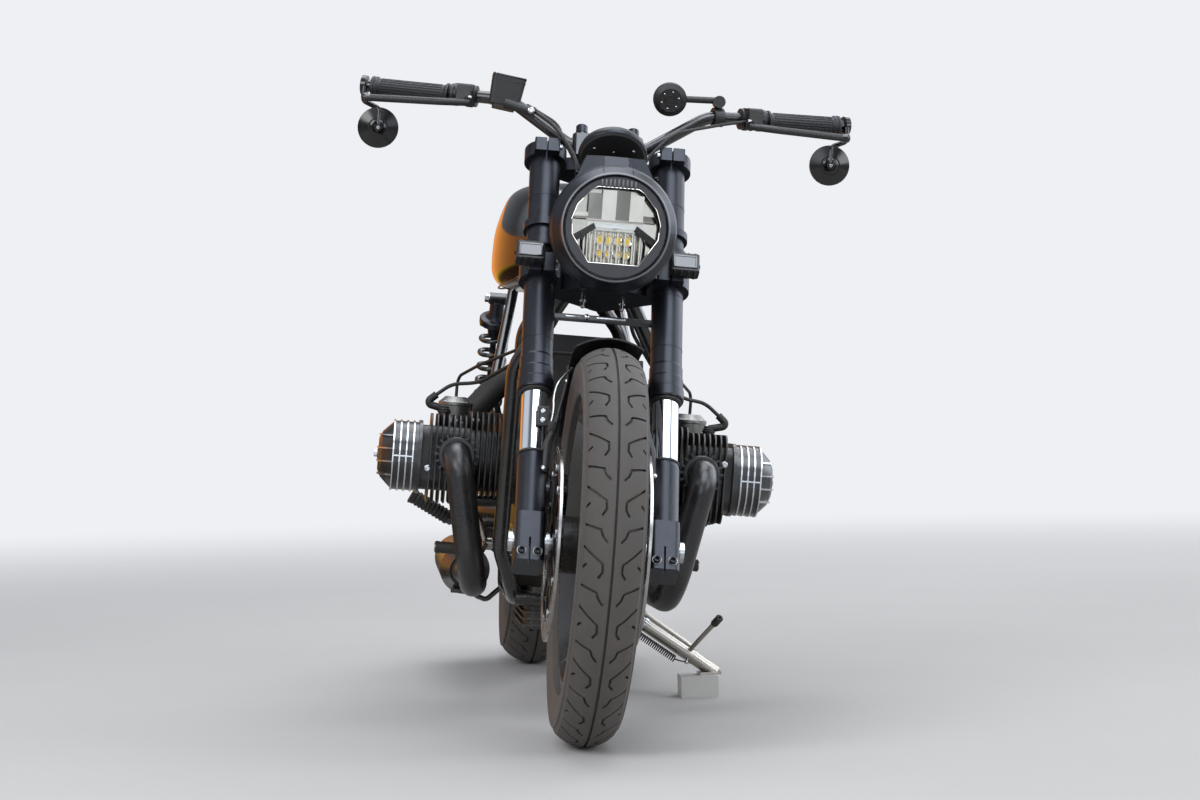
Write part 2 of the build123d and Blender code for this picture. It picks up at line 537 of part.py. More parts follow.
# Engine
CASE_SIDE = [(-148, 300), (-148, 590), (-100, 645), (40, 645), (100, 590), (160, 575), (160, 260), (120, 222),
             (-88, 222)]
with BuildPart() as engine_block:
    plate(Plane.YZ, [(CRANK_Y + y, z) for y, z in CASE_SIDE], -104, 104)
    for side in (-1, 1):
        disc(across(CRANK_Y - side * CYL_STAGGER, CRANK_Z, side * 104), 76, 0, side * (CYL_X0 - 104))
        for y in (CRANK_Y - 40, CRANK_Y + 100):
            block(Plane.XY, 20, 40, RAIL_Z + 4, 230, at=(side * 94, y))
    nose = Plane(origin=(0, CRANK_Y - 148, CRANK_Z), x_dir=(1, 0, 0), z_dir=(0, -1, 0))
    block(nose, 150, 250, 0, 10, at=(0, 0), corner=40)
    for n in range(-3, 4):
        block(nose, 4, 200, 8, 16, at=(n * 17, 0), corner=1)
    add(main_frame.part, mode=Mode.SUBTRACT)

SUMP_LOW, SUMP_TOP = 146, 222
with BuildPart() as sump:
    block(Plane.XY, 152, 240, SUMP_LOW, SUMP_TOP, at=(0, CRANK_Y + 10), corner=16)
    for n in range(6):
        level = SUMP_LOW + 5 + n * 12
        block(Plane.XY, 166, 256, level, level + 3, at=(0, CRANK_Y + 10), corner=20)

with BuildPart() as gearbox:
    with BuildSketch(Plane.XZ.offset(-CRANK_Y - 160)) as wide:
        with Locations((0, 400)):
            RectangleRounded(196, 270, 40)
    with BuildSketch(Plane.XZ.offset(65 - PIVOT_Y)) as narrow:
        with Locations((0, 380)):
            RectangleRounded(140, 210, 40)
    loft(sections=[wide.sketch, narrow.sketch])


def cylinder(side):
    """Casts one finned barrel with its head, standing out sideways from the crankcase."""
    y = CRANK_Y - side * CYL_STAGGER
    base = Plane(origin=(0, y, CRANK_Z), x_dir=(0, 1, 0), z_dir=(side, 0, 0))
    disc(base, 56, CYL_X0, HEAD_X0 + 4)
    block(base, 128, 118, HEAD_X0, COVER_X0, corner=20)
    count = int((COVER_X0 - 3 - CYL_X0) / FIN_PITCH)
    for n in range(count):
        start = CYL_X0 + 4 + n * FIN_PITCH
        wide, tall, up = (158, 157, 12) if start < HEAD_X0 else (176, 163, 0)
        block(base, wide, tall, start, start + FIN_T, at=(0, side * up), corner=26)
    for across_y in (-26, 26):
        rod([(side * (CYL_X0 - 10), y + across_y, CRANK_Z - 72),
             (side * (HEAD_X0 + 4), y + across_y, CRANK_Z - 76)], 9)
    port = Plane(origin=(side * PORT_X, y, PORT_Z), x_dir=(1, 0, 0), z_dir=(0, -1, 0))
    disc(port, 30, 0, 100)
    disc(Plane(origin=(side * PLUG_X, y + 22, CRANK_Z), x_dir=(1, 0, 0), z_dir=(0, 0, 1)), 11, 40, PLUG_UP)


PLUG_X, PLUG_UP = 246, 87
with BuildPart() as cylinders:
    for side in (-1, 1):
        cylinder(side)
    add(engine_block.part, mode=Mode.SUBTRACT)

with BuildPart() as plug_caps:
    for side in (-1, 1):
        y = CRANK_Y - side * CYL_STAGGER + 22
        rod([(side * PLUG_X, y, CRANK_Z + 91), (side * (PLUG_X + 36), y, CRANK_Z + 99),
             (side * (PLUG_X + 16), y, CRANK_Z + 117)], 7, bend=12)
        disc(Plane(origin=(side * PLUG_X, y, CRANK_Z), x_dir=(1, 0, 0), z_dir=(0, 0, 1)), 9, PLUG_UP - 4, 96)
    add(cylinders.part, mode=Mode.SUBTRACT)

COVER_W, COVER_H, COVER_C = 165, 126, 52
DOME = ((28, 0), (17, 20), (6, 42), (0, 68))


def dome(base, grow):
    """Lofts a valve cover's rounded end, drawn in towards its tip and grown by a little all over."""
    rings = []
    for back, less in DOME:
        with BuildSketch(base.offset(COVER_X1 - back + (grow if back < 28 else 0))) as ring:
            wide, tall = COVER_W - less + 2 * grow, COVER_H - less + 2 * grow
            RectangleRounded(wide, tall, COVER_C - less * 0.4 + grow)
        rings.append(ring.sketch)
    loft(sections=rings, ruled=True)


with BuildPart() as valve_covers:
    for side in (-1, 1):
        base = Plane(origin=(0, CRANK_Y - side * CYL_STAGGER, CRANK_Z), x_dir=(0, 1, 0), z_dir=(side, 0, 0))
        block(base, COVER_W + 8, COVER_H + 8, COVER_X0, COVER_X0 + 6, corner=COVER_C)
        block(base, COVER_W, COVER_H, COVER_X0 + 6, COVER_X1 - 28, corner=COVER_C)
        dome(base, 0)

RIB_X = (COVER_X0 + 14, COVER_X0 + 26, COVER_X0 + 38, COVER_X0 + 50)
RIB_T, RIB_OUT = 2.6, 2.4
with BuildPart() as slabs:
    for side in (-1, 1):
        base = Plane(origin=(0, CRANK_Y - side * CYL_STAGGER, CRANK_Z), x_dir=(0, 1, 0), z_dir=(side, 0, 0))
        for up in (-36, -12, 12, 36):
            block(base, 220, RIB_T, RIB_X[3] + 1, COVER_X1 + 12, at=(0, up))

with BuildPart() as valve_cover_ribs:
    for side in (-1, 1):
        base = Plane(origin=(0, CRANK_Y - side * CYL_STAGGER, CRANK_Z), x_dir=(0, 1, 0), z_dir=(side, 0, 0))
        dome(base, RIB_OUT)
    add(slabs.part, mode=Mode.INTERSECT)
    for side in (-1, 1):
        base = Plane(origin=(0, CRANK_Y - side * CYL_STAGGER, CRANK_Z), x_dir=(0, 1, 0), z_dir=(side, 0, 0))
        for x in RIB_X:
            block(base, COVER_W + 2 * RIB_OUT, COVER_H + 2 * RIB_OUT, x, x + RIB_T, corner=COVER_C + RIB_OUT)
        block(base, COVER_W + 2 * RIB_OUT, RIB_T, RIB_X[0], RIB_X[3], at=(0, 0))
    add(valve_covers.part, mode=Mode.SUBTRACT)

# Exhaust
NUT_Y = 100
with BuildPart() as exhaust_nuts:
    for side in (-1, 1):
        y = CRANK_Y - side * CYL_STAGGER - NUT_Y
        port = Plane(origin=(side * PORT_X, y, PORT_Z), x_dir=(1, 0, 0), z_dir=(0, -1, 0))
        disc(port, 33, 0, 20)
        with BuildSketch(port.offset(2)) as star:
            with PolarLocations(34, 18):
                Rectangle(13, 4)
        extrude(star.sketch, amount=16)
        disc(port, PIPE_R, -1, 21, mode=Mode.SUBTRACT)

with BuildPart() as exhaust_headers:
    for side in (-1, 1):
        y = CRANK_Y - side * CYL_STAGGER - NUT_Y
        rod([(side * PORT_X, y, PORT_Z), (side * PORT_X, y - 76, PORT_Z),
             (side * (PIPE_RUN_X + 8), y - 60, PIPE_RUN_Z), (side * PIPE_RUN_X, CRANK_Y + 40, PIPE_RUN_Z),
             (side * PIPE_RUN_X, PIVOT_Y - 105, PIPE_RUN_Z),
             (side * SILENCER_X, SILENCER_Y0 - 14, SILENCER_Z),
             (side * SILENCER_X, SILENCER_Y0 + 4, SILENCER_Z)], PIPE_R, bend=74)

SILENCER_L = SILENCER_Y1 - SILENCER_Y0
with BuildPart() as silencers:
    for side in (-1, 1):
        start = (side * SILENCER_X, SILENCER_Y0 + 4, SILENCER_Z)
        line = Plane(origin=start, x_dir=(1, 0, 0), z_dir=(0, 1, 0))
        turned(line, [(0, 0), (PIPE_R + 3, 0), (SILENCER_R, 70), (SILENCER_R, SILENCER_L - 40),
                      (SILENCER_R - 8, SILENCER_L), (26, SILENCER_L), (26, SILENCER_L - 70),
                      (0, SILENCER_L - 70)])
        under = (side * SILENCER_X, SILENCER_Y0 + 42)
        block(Plane.XY, 52, 22, SILENCER_Z - 46, SILENCER_Z - 38, at=under, corner=3)

# Induction
CARB_X, CARB_Z = 222, CRANK_Z + 46
with BuildPart() as carburettors:
    for side in (-1, 1):
        y = CRANK_Y - side * CYL_STAGGER + 64
        bore = Plane(origin=(side * CARB_X, y, CARB_Z), x_dir=(1, 0, 0), z_dir=(0, 1, 0))
        turned(bore, [(0, 0), (24, 0), (24, 40), (28, 44), (28, 100), (26, 108), (0, 108)])
        up = Plane(origin=(side * CARB_X, y + 74, CARB_Z), x_dir=(1, 0, 0), z_dir=(0, 0, 1))
        turned(up, [(0, 0), (30, 16), (32, 52), (33, 54), (33, 59), (30, 61), (20, 70), (0, 70)])
        block(up, 46, 54, -58, -20, corner=8)
        rod([up.origin + Vector(-side * 26, -8, 26), up.origin + Vector(-side * 48, -8, 26)], 5)
    add(cylinders.part, mode=Mode.SUBTRACT)

AIR_Y0, AIR_Y1 = CRANK_Y + 160, BOX_Y
BOX_DEPTH = 143
with BuildPart() as air_battery_case:
    block(Plane.XY, 156, AIR_Y1 - AIR_Y0, 538, 690, at=(0, (AIR_Y0 + AIR_Y1) / 2), corner=16)
    block(Plane.XY, 120, 40, 560, 640, at=(0, AIR_Y1))
    block(Plane.XY, 150, BOX_DEPTH, 430, 640, at=(0, BOX_Y + BOX_DEPTH / 2 + 4), corner=12)

with BuildPart() as intake_ducts:
    for side in (-1, 1):
        y = CRANK_Y - side * CYL_STAGGER + 172
        rod([(side * CARB_X, y, CARB_Z), (side * CARB_X, PIVOT_Y - 95, CARB_Z),
             (side * 128, PIVOT_Y - 95, 600), (side * 78, PIVOT_Y - 95, 600)], 25, bend=60)

# Rear end
with BuildPart() as swingarm:
    disc(across(PIVOT_Y, PIVOT_Z), 30, -RAIL_X + RAIL_R, RAIL_X - RAIL_R)
    rod([(-40, PIVOT_Y + 8, PIVOT_Z), (ARM_X, PIVOT_Y + 120, REAR_TYRE_R),
         (ARM_X, WHEELBASE - 94, REAR_TYRE_R)],
        ARM_R, bend=90)

SPINDLE_R = 15
with BuildPart() as final_drive:
    axle = across(WHEELBASE, REAR_TYRE_R)
    turned(axle, [(0, -86), (74, -86), (84, -94), (84, -128), (66, -144), (0, -146)])
    disc(axle, SPINDLE_R, -90, 56)
    disc(axle, 24, 46 + FIT_CLEAR, 60)
    rod([(ARM_X, WHEELBASE - 94, REAR_TYRE_R), (ARM_X, WHEELBASE - 40, REAR_TYRE_R)], ARM_R - 3)
    disc(across(WHEELBASE - 28, REAR_TYRE_R + 88), 15, -150, -120)

with BuildPart() as rear_shock:
    run = SHOCK_TOP - SHOCK_LOW
    up = Plane(origin=SHOCK_LOW, x_dir=(1, 0, 0), z_dir=run)
    turned(up, [(0, 4), (14, 4), (14, 130), (24, 130), (24, run.length - 60), (14, run.length - 50),
                (14, run.length - 4), (0, run.length - 4)])
    for n in range(9):
        turned(up, [(10, 60 + n * 26), (32, 60 + n * 26), (32, 68 + n * 26), (10, 68 + n * 26)])
    add(final_drive.part, mode=Mode.SUBTRACT)
    add(rear_subframe.part, mode=Mode.SUBTRACT)

with BuildPart() as rear_tyre:
    tyre(WHEELBASE, REAR_TYRE_R, REAR_TYRE_W, REAR_RIM_W)

with BuildPart() as rear_wheel:
    rim(WHEELBASE, REAR_TYRE_R, REAR_RIM_W)
    spokes(WHEELBASE, REAR_TYRE_R, 5, 80, 24, 18)
    turned(across(WHEELBASE, REAR_TYRE_R), [(0, FIT_CLEAR - 86), (60, FIT_CLEAR - 86), (95, -60), (95, 30),
                                            (60, 46), (0, 46)])
    disc(across(WHEELBASE, REAR_TYRE_R), SPINDLE_R + FIT_CLEAR, -100, 60, mode=Mode.SUBTRACT)

# Bodywork
# Each row of the tank gives its place along the tank, half width, underside and crown
TANK_ROWS = ((0.00, 78, 802, 924), (0.09, 122, 784, 948), (0.25, 166, 768, 963), (0.50, 184, 760, 970),
             (0.74, 170, 762, 965), (0.90, 138, 772, 946), (1.00, 98, 786, 920))


def tank_ring(y, half, low, top):
    """Draws one section of the tank: flat underside, tumbled sides and a crowned top."""
    with BuildSketch(Plane.XZ.offset(-y)) as ring:
        with BuildLine():
            Line((-0.78 * half, low), (0.78 * half, low))
            ThreePointArc((0.78 * half, low), (0.95 * half, low + 13), (half, low + 44))
            ThreePointArc((half, low + 44), (0.97 * half, (low + top) / 2 + 12), (0.87 * half, top - 34))
            ThreePointArc((0.87 * half, top - 34), (0.79 * half, top - 17), (0.62 * half, top - 7))
            ThreePointArc((0.62 * half, top - 7), (0, top), (-0.62 * half, top - 7))
            ThreePointArc((-0.62 * half, top - 7), (-0.79 * half, top - 17), (-0.87 * half, top - 34))
            ThreePointArc((-0.87 * half, top - 34), (-0.97 * half, (low + top) / 2 + 12), (-half, low + 44))
            ThreePointArc((-half, low + 44), (-0.95 * half, low + 13), (-0.78 * half, low))
        make_face()
    return ring.sketch


with BuildPart() as fuel_tank:
    length = TANK_Y1 - TANK_Y0
    rings = [tank_ring(TANK_Y0 + part * length, half, low, top) for part, half, low, top in TANK_ROWS]
    loft(sections=rings, ruled=True)
    tunnel = [(-TUNNEL_HALF, 700), (-TUNNEL_HALF, 890), (-30, 908), (30, 908), (TUNNEL_HALF, 890),
              (TUNNEL_HALF, 700)]
    plate(Plane.XZ.offset(-PIVOT_Y), tunnel, 0, 600, mode=Mode.SUBTRACT)
    filler = Plane(origin=(0, TANK_Y0 + 150, 960), x_dir=(1, 0, 0), z_dir=(0, 0, 1))
    turned(filler, [(0, 0), (32, 0), (32, 12), (29, 15), (0, 17)])

PAN_Z = SEAT_RAIL_Z + 20
with BuildPart() as seat_pan:
    seat_mid = (0, (SEAT_Y0 + SEAT_Y1) / 2)
    block(Plane.XY, 214, SEAT_Y1 - SEAT_Y0, SEAT_RAIL_Z + 12, PAN_Z, at=seat_mid, corner=50)

with BuildPart() as seat:
    with BuildSketch(Plane.XY.offset(PAN_Z + SOFT_CLEAR)) as low:
        with Locations((0, (SEAT_Y0 + SEAT_Y1) / 2 + 4)):
            RectangleRounded(226, SEAT_Y1 - SEAT_Y0 + 2, 54)
    with BuildSketch(Plane.XY.offset(PAN_Z + 52)) as high:
        with Locations((0, (SEAT_Y0 + SEAT_Y1) / 2 + 8)):
            RectangleRounded(198, SEAT_Y1 - SEAT_Y0 - 28, 48)
    loft(sections=[low.sketch, high.sketch], ruled=True)

with BuildPart() as tail_lamp:
    rod([(-52, WHEELBASE + 11, SEAT_RAIL_Z), (52, WHEELBASE + 11, SEAT_RAIL_Z)], 9)

PEG_Y = PIVOT_Y - 109
# The right hanger hooks under the silencer; the left one runs straight out, above the folded stand
HANGERS = {
    -1: ((RAIL_X, PEG_Y + 34, RAIL_Z), (130, PEG_Y + 44, 166), (152, PEG_Y + 66, 172), (158, PEG_Y + 78, 204)),
    1: ((RAIL_X, PEG_Y + 34, RAIL_Z + 4), (112, PEG_Y + 34, PIPE_RUN_Z - 4), (150, PEG_Y + 34, PIPE_RUN_Z)),
}
with BuildPart() as footpegs:
    for side in (-1, 1):
        rod([(side * RAIL_X, PEG_Y + 16, RAIL_Z), (side * 112, PEG_Y + 8, 264), (side * 142, PEG_Y, 284),
             (side * 212, PEG_Y, 320)], 9, bend=30)
        rod([(side * 208, PEG_Y, 318), (side * 292, PEG_Y, 361)], 12)
        rod([(side * x, y, z) for x, y, z in HANGERS[side]], 5, bend=14)
    add(main_frame.part, mode=Mode.SUBTRACT)
    add(exhaust_headers.part, mode=Mode.SUBTRACT)

# Brake pedal on the rider's right, gear lever on the left, each on a cross shaft from the frame
PEDAL_Y, PEDAL_Z = CRANK_Y + 104, 284
with BuildPart() as foot_controls:
    for side in (-1, 1):
        shaft = across(PEDAL_Y, PEDAL_Z)
        disc(shaft, 8, side * 104, side * 152)
        disc(shaft, 12, side * 136, side * 150)
        rod([(side * 146, PEDAL_Y, PEDAL_Z), (side * 160, PEDAL_Y - 8, 322),
             (side * 181, PEDAL_Y - 10, 358)], 6, bend=40)
        rod([(side * 181, PEDAL_Y - 10, 358), (side * 170, PEDAL_Y - 10, 372),
             (side * 131, PEDAL_Y - 10, 362)], 4.5, bend=8)
        rod([(side * 148, PEDAL_Y, PEDAL_Z), (side * 158, PEDAL_Y - 62, 270),
             (side * 206, PEDAL_Y - 104, 276)], 6, bend=40)
        rod([(side * 196, PEDAL_Y - 104, 276), (side * 246, PEDAL_Y - 104, 276)], 9)
    add(engine_block.part, mode=Mode.SUBTRACT)

# Ignition leads and throttle cables, from the frame's down tubes to the plugs and the carburettors
with BuildPart() as engine_cables:
    for side in (-1, 1):
        y = CRANK_Y - side * CYL_STAGGER
        rod([(side * (PLUG_X + 17), y + 22, CRANK_Z + 116), (side * (PLUG_X - 10), y + 22, CRANK_Z + 138),
             (side * 186, y - 10, CRANK_Z + 144), (side * 118, y - 130, CRANK_Z + 192),
             STEM.from_local_coords((side * 70, 124.6, CLAMP_TOP_S - 242.6)),
             STEM.from_local_coords((side * 46, 50, CLAMP_TOP_S - 194))], 3.5, bend=90)
        rod([(side * CARB_X, y + 138, CARB_Z + 66), (side * CARB_X, y + 136, CARB_Z + 108),
             (side * 186, y + 50, CARB_Z + 132), (side * 122, y - 84, CARB_Z + 164),
             STEM.from_local_coords((side * 76, 147, CLAMP_TOP_S - 212.5)),
             STEM.from_local_coords((side * 60, 65, CLAMP_TOP_S - 215.5))], 3, bend=90)
    add(main_frame.part, mode=Mode.SUBTRACT)
    add(plug_caps.part, mode=Mode.SUBTRACT)
    add(carburettors.part, mode=Mode.SUBTRACT)

# Side stand
UNPARK = PARKED.inverse()
FOOT = Vector(*(UNPARK * Location(STAND_FOOT)).position)
REACH = FOOT - Vector(*STAND_PIVOT)
SWING_AXIS = REACH.cross(Vector(0, 1, 0)).normalized()
STAND = Plane(origin=STAND_PIVOT, x_dir=REACH, z_dir=SWING_AXIS)
with BuildPart() as side_stand:
    for start in (7.6, -13.6):
        with BuildSketch(STAND.offset(start)) as ear:
            Circle(13)
            with Locations((16, 0)):
                Rectangle(32, 26)
            Circle(6 + FIT_CLEAR, mode=Mode.SUBTRACT)
        extrude(ear.sketch, amount=6)
    rod([STAND.from_local_coords((22, 0, 0)), STAND.from_local_coords((REACH.length + 20, 0, 0))], 13)
    disc(Plane(origin=STAND.from_local_coords((REACH.length - 34, 0, 0)), z_dir=REACH), 14.2, 0, 4)
    rod([STAND.from_local_coords((30, 0, 17)), STAND.from_local_coords((150, 0, 15))], 5)
    block(FLOOR, 44, 36, BLOCK_H + SOFT_CLEAR, BLOCK_H + 5, at=(STAND_FOOT[0] + 4, STAND_FOOT[1]), corner=4)
    block(FLOOR, 200, 200, -80, BLOCK_H + SOFT_CLEAR, at=(STAND_FOOT[0], STAND_FOOT[1]), mode=Mode.SUBTRACT)
    tang = STAND.from_local_coords((143, -8, 9))
    rod([tang, STAND.from_local_coords((139, -118, 88))], 4.5)

with BuildPart() as stand_lug:
    disc(STAND, 13, -7, 7)
    disc(STAND, 6, -17, 17)
    rod([STAND.origin, (RAIL_X, STAND_PIVOT[1], RAIL_Z)], 5)
    add(main_frame.part, mode=Mode.SUBTRACT)

with BuildPart() as stand_block:
    block(FLOOR, BLOCK_W, BLOCK_D, 0, BLOCK_H, at=(BLOCK_X, STAND_FOOT[1] - 2))

PIECES = {
    "front_tyre": front_tyre, "front_wheel": front_wheel, "front_discs": front_discs,
    "front_axle": front_axle,
    "fork_bottoms": fork_bottoms, "fork_inner_tubes": fork_inner_tubes, "fork_outer_tubes": fork_outer_tubes,
    "upper_clamp": upper_clamp, "lower_clamp": lower_clamp, "front_calipers": front_calipers,
    "front_fender": front_fender, "headlight_shell": headlight_shell,
    "headlight_lens": headlight_lens, "lamp_cowl": lamp_cowl, "lamp_brackets": lamp_brackets,
    "front_indicators": front_indicators, "instrument": instrument, "handlebar": handlebar, "grips": grips,
    "bar_controls": bar_controls, "brake_reservoir": brake_reservoir, "mirrors": mirrors,
    "phone_mount": phone_mount, "main_frame": main_frame, "rear_subframe": rear_subframe,
    "engine_block": engine_block, "sump": sump, "gearbox": gearbox, "cylinders": cylinders,
    "plug_caps": plug_caps,
    "valve_covers": valve_covers, "valve_cover_ribs": valve_cover_ribs,
    "exhaust_nuts": exhaust_nuts, "lamp_mask": lamp_mask, "lamp_reflector": lamp_reflector,
    "exhaust_headers": exhaust_headers, "silencers": silencers, "carburettors": carburettors,
    "air_battery_case": air_battery_case, "intake_ducts": intake_ducts, "swingarm": swingarm,
    "bar_cables": bar_cables, "engine_cables": engine_cables, "foot_controls": foot_controls,
    "final_drive": final_drive, "rear_shock": rear_shock, "rear_tyre": rear_tyre, "rear_wheel": rear_wheel,
    "fuel_tank": fuel_tank, "seat_pan": seat_pan, "seat": seat, "tail_lamp": tail_lamp, "footpegs": footpegs,
    "side_stand": side_stand, "stand_lug": stand_lug, "stand_block": stand_block,
}

# Lean every piece onto the stand, then bring the middle of the footprint to the origin
os.makedirs("parts", exist_ok=True)
for piece in PIECES.values():
    piece.part.move(PARKED)
boxes = [piece.part.bounding_box() for piece in PIECES.values()]
middle_x = (min(b.min.X for b in boxes) + max(b.max.X for b in boxes)) / 2
middle_y = (min(b.min.Y for b in boxes) + max(b.max.Y for b in boxes)) / 2
print("middle", middle_x, middle_y, "floor", min(b.min.Z for b in boxes), "top", max(b.max.Z for b in boxes))
for node, piece in PIECES.items():
    piece.part.move(Location((-middle_x, -middle_y, 0)))
    piece.part.label = node
    export_step(piece.part, f"parts/{node}.step")
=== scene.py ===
import logging
import math
from contextlib import contextmanager
from dataclasses import dataclass, field
from enum import Enum
from typing import Callable, Iterable, Iterator, Sequence

import bmesh
import bpy
from mathutils import Matrix, Vector


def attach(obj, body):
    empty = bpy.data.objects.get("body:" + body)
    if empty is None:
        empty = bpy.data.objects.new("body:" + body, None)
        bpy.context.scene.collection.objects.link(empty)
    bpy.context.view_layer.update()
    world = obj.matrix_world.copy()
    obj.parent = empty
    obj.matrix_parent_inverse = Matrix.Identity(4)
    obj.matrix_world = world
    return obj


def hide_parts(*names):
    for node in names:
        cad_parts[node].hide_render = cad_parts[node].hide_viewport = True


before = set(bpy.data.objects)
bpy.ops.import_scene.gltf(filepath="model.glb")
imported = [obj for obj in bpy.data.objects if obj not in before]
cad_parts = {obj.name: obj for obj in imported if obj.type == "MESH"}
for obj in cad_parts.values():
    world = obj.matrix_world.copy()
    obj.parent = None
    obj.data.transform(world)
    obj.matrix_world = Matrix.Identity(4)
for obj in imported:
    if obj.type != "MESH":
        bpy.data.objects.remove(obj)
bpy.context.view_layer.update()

logging.basicConfig(level=logging.INFO, format="%(message)s")
LOG = logging.getLogger("motorcycle")

# The machine is drawn upright in millimetres with the front axle over y = 0, as its solids were,
# and PARKED leans it onto the stand and brings the middle of its footprint to the origin.
LEAN, RAKE, TRAIL = math.radians(5.6), math.radians(28.0), 120.0
MIDDLE = (104.44742527688004, 729.0)
FRONT_R, FRONT_W, REAR_R, REAR_W, BEAD_R = 325.0, 104.0, 333.0, 130.0, 228.6
# A tread's edge lies SHOULDER of the half width across and DROP of it below the crown
SHOULDER, DROP = 0.86, 0.36


def crown_radius(half: float) -> float:
    """Gives the radius of the round across a tread of this half width, mm."""
    return half * (SHOULDER ** 2 + DROP ** 2) / (2 * DROP)


LIFT = crown_radius(REAR_W / 2) * (1 - math.cos(LEAN))
PARKED = (Matrix.Translation((-MIDDLE[0] / 1000, -MIDDLE[1] / 1000, LIFT / 1000))
          @ Matrix.Rotation(LEAN, 4, "Y") @ Matrix.Scale(0.001, 4))

# The solids' own driving sizes, repeated here because the pieces below sit on them
WHEELBASE = 1450.0
HEAD_Z, CLAMP_GAP = 984.6, 239.0
CLAMP_TOP_S = (HEAD_Z - FRONT_R) / math.cos(RAKE)
CLAMP_LOW_S = CLAMP_TOP_S - CLAMP_GAP
CLAMP_OFFSET = FRONT_R * math.sin(RAKE) - TRAIL * math.cos(RAKE)
LEG_X, LEG_R, SLIDER_R = 110.0, 27.0, 22.5
FOOT_TOP_S, SEAL_S = 157.0, 277.0
DISC_R, DISC_X, DISC_T = 160.0, 72.0, 5.0
CRANK_Y, PIVOT_Y, CRANK_Z = 0.4138 * WHEELBASE, 0.6517 * WHEELBASE, 440.0
TANK_Y0, TANK_Y1 = CRANK_Y - 164, PIVOT_Y - 93
SEAT_RAIL_Z = 806.0
SEAT_Y0, SEAT_Y1 = TANK_Y1 + 5, WHEELBASE - 44
COVER_X0, COVER_X1, STAGGER = 284.0, 362.0, 20.0
PORT_X, PORT_Z = 221.0, 449.0
CARB_X, CARB_Z = 222.0, CRANK_Z + 46
SILENCER_X, SILENCER_Z = 170.0, 214.0
SHOCK_LOW = Vector((-137, WHEELBASE - 28, REAR_R + 88))
SHOCK_TOP = Vector((-137, WHEELBASE - 222, SEAT_RAIL_Z - 38))
STAND_PIVOT = Vector((124, CRANK_Y + 90, 176.5))
STAND_FOOT = Vector((294, CRANK_Y + 90, 54))

BOTH = (-1, 1)


def cylinder_y(side: int) -> float:
    """Gives how far back one side's cylinder sits: the two are staggered."""
    return CRANK_Y - side * STAGGER


def on_fork(x: float, back: float, up: float) -> Vector:
    """Gives the upright point at x, `back` square behind the leg line and `up` along it from the axle."""
    return Vector((x, up * math.sin(RAKE) + back * math.cos(RAKE),
                   FRONT_R + up * math.cos(RAKE) - back * math.sin(RAKE)))


def on_head(x: float, back: float, up: float) -> Vector:
    """Gives the same, with `up` counted from the middle of the top clamp."""
    return on_fork(x, back, CLAMP_TOP_S + up)


UP_FORK = Vector((0, math.sin(RAKE), math.cos(RAKE)))
BACK_FORK = Vector((0, math.cos(RAKE), -math.sin(RAKE)))
BAR_HALF = (on_head(60, 18, 38), on_head(178, -6, 112), on_head(432, 48, 154))
BAR_RUN = (BAR_HALF[2] - BAR_HALF[1]).normalized()
LAMP_AT = on_fork(0, -170, CLAMP_TOP_S - 240)


def on_bar(side: int, x: float) -> Vector:
    """Gives the handlebar's centre point at |x| on its outer run, on one side."""
    here = BAR_HALF[1] + BAR_RUN * ((x - BAR_HALF[1].x) / BAR_RUN.x)
    return Vector((side * here.x, here.y, here.z))


def stance(origin: Iterable[float], normal: Iterable[float], ahead: Iterable[float] | None = None) -> Matrix:
    """Sets up a work plane.

    Args:
        origin: the plane's middle, mm.
        normal: the way its z points.
        ahead: roughly the way its x points.

    Returns:
        The matrix from the plane's own coordinates to the machine's.
    """
    z = Vector(normal).normalized()
    x = Vector(ahead) if ahead is not None else Vector((1, 0, 0) if abs(z.x) < 0.9 else (0, 1, 0))
    x = (x - z * x.dot(z)).normalized()
    made = Matrix((x, z.cross(x), z)).transposed().to_4x4()
    made.translation = Vector(origin)
    return made


def shift(x: float, y: float, z: float) -> Matrix:
    """Gives a plain move, mm."""
    return Matrix.Translation((x, y, z))


def on_leg(side: int, up: float) -> Matrix:
    """Gives the work plane square to one fork leg, `up` along it from the axle."""
    return stance(on_fork(side * LEG_X, 0, up), UP_FORK)


def bar_stance(side: int, x: float) -> Matrix:
    """Gives the work plane square to the handlebar at |x|, its z outwards and its x forwards."""
    return stance(on_bar(side, x), (side * BAR_RUN.x, BAR_RUN.y, BAR_RUN.z), (0, -1, 0))


def linear(code: str) -> tuple[float, float, float, float]:
    """Turns an sRGB hex colour into the linear values that shaders take.

    Args:
        code: six hex digits, with or without a leading #.

    Returns:
        Red, green, blue and an alpha of 1.
    """
    parts = [int(code.lstrip("#")[i:i + 2], 16) / 255 for i in (0, 2, 4)]
    return tuple(p / 12.92 if p <= 0.04045 else ((p + 0.055) / 1.055) ** 2.4 for p in parts) + (1.0,)


def put(tree: bpy.types.NodeTree, kind: str, inputs: dict | None = None, **settings) -> bpy.types.Node:
    """Adds one node with its settings, values and links.

    Args:
        tree: the node tree that gets the node.
        kind: the node's type, such as ShaderNodeTexNoise.
        inputs: values by input name or number; a socket is linked instead of set.
        settings: the node's own properties.

    Returns:
        The new node.
    """
    made = tree.nodes.new(kind)
    for key, value in settings.items():
        setattr(made, key, value)
    for key, value in (inputs or {}).items():
        if isinstance(value, bpy.types.NodeSocket):
            tree.links.new(value, made.inputs[key])
        else:
            made.inputs[key].default_value = value
    return made


def maths(tree: bpy.types.NodeTree, operation: str, *values, clamp: bool = False) -> bpy.types.NodeSocket:
    """Adds one maths node over these values and gives its result."""
    return put(tree, "ShaderNodeMath", dict(enumerate(values)), operation=operation, use_clamp=clamp).outputs[0]


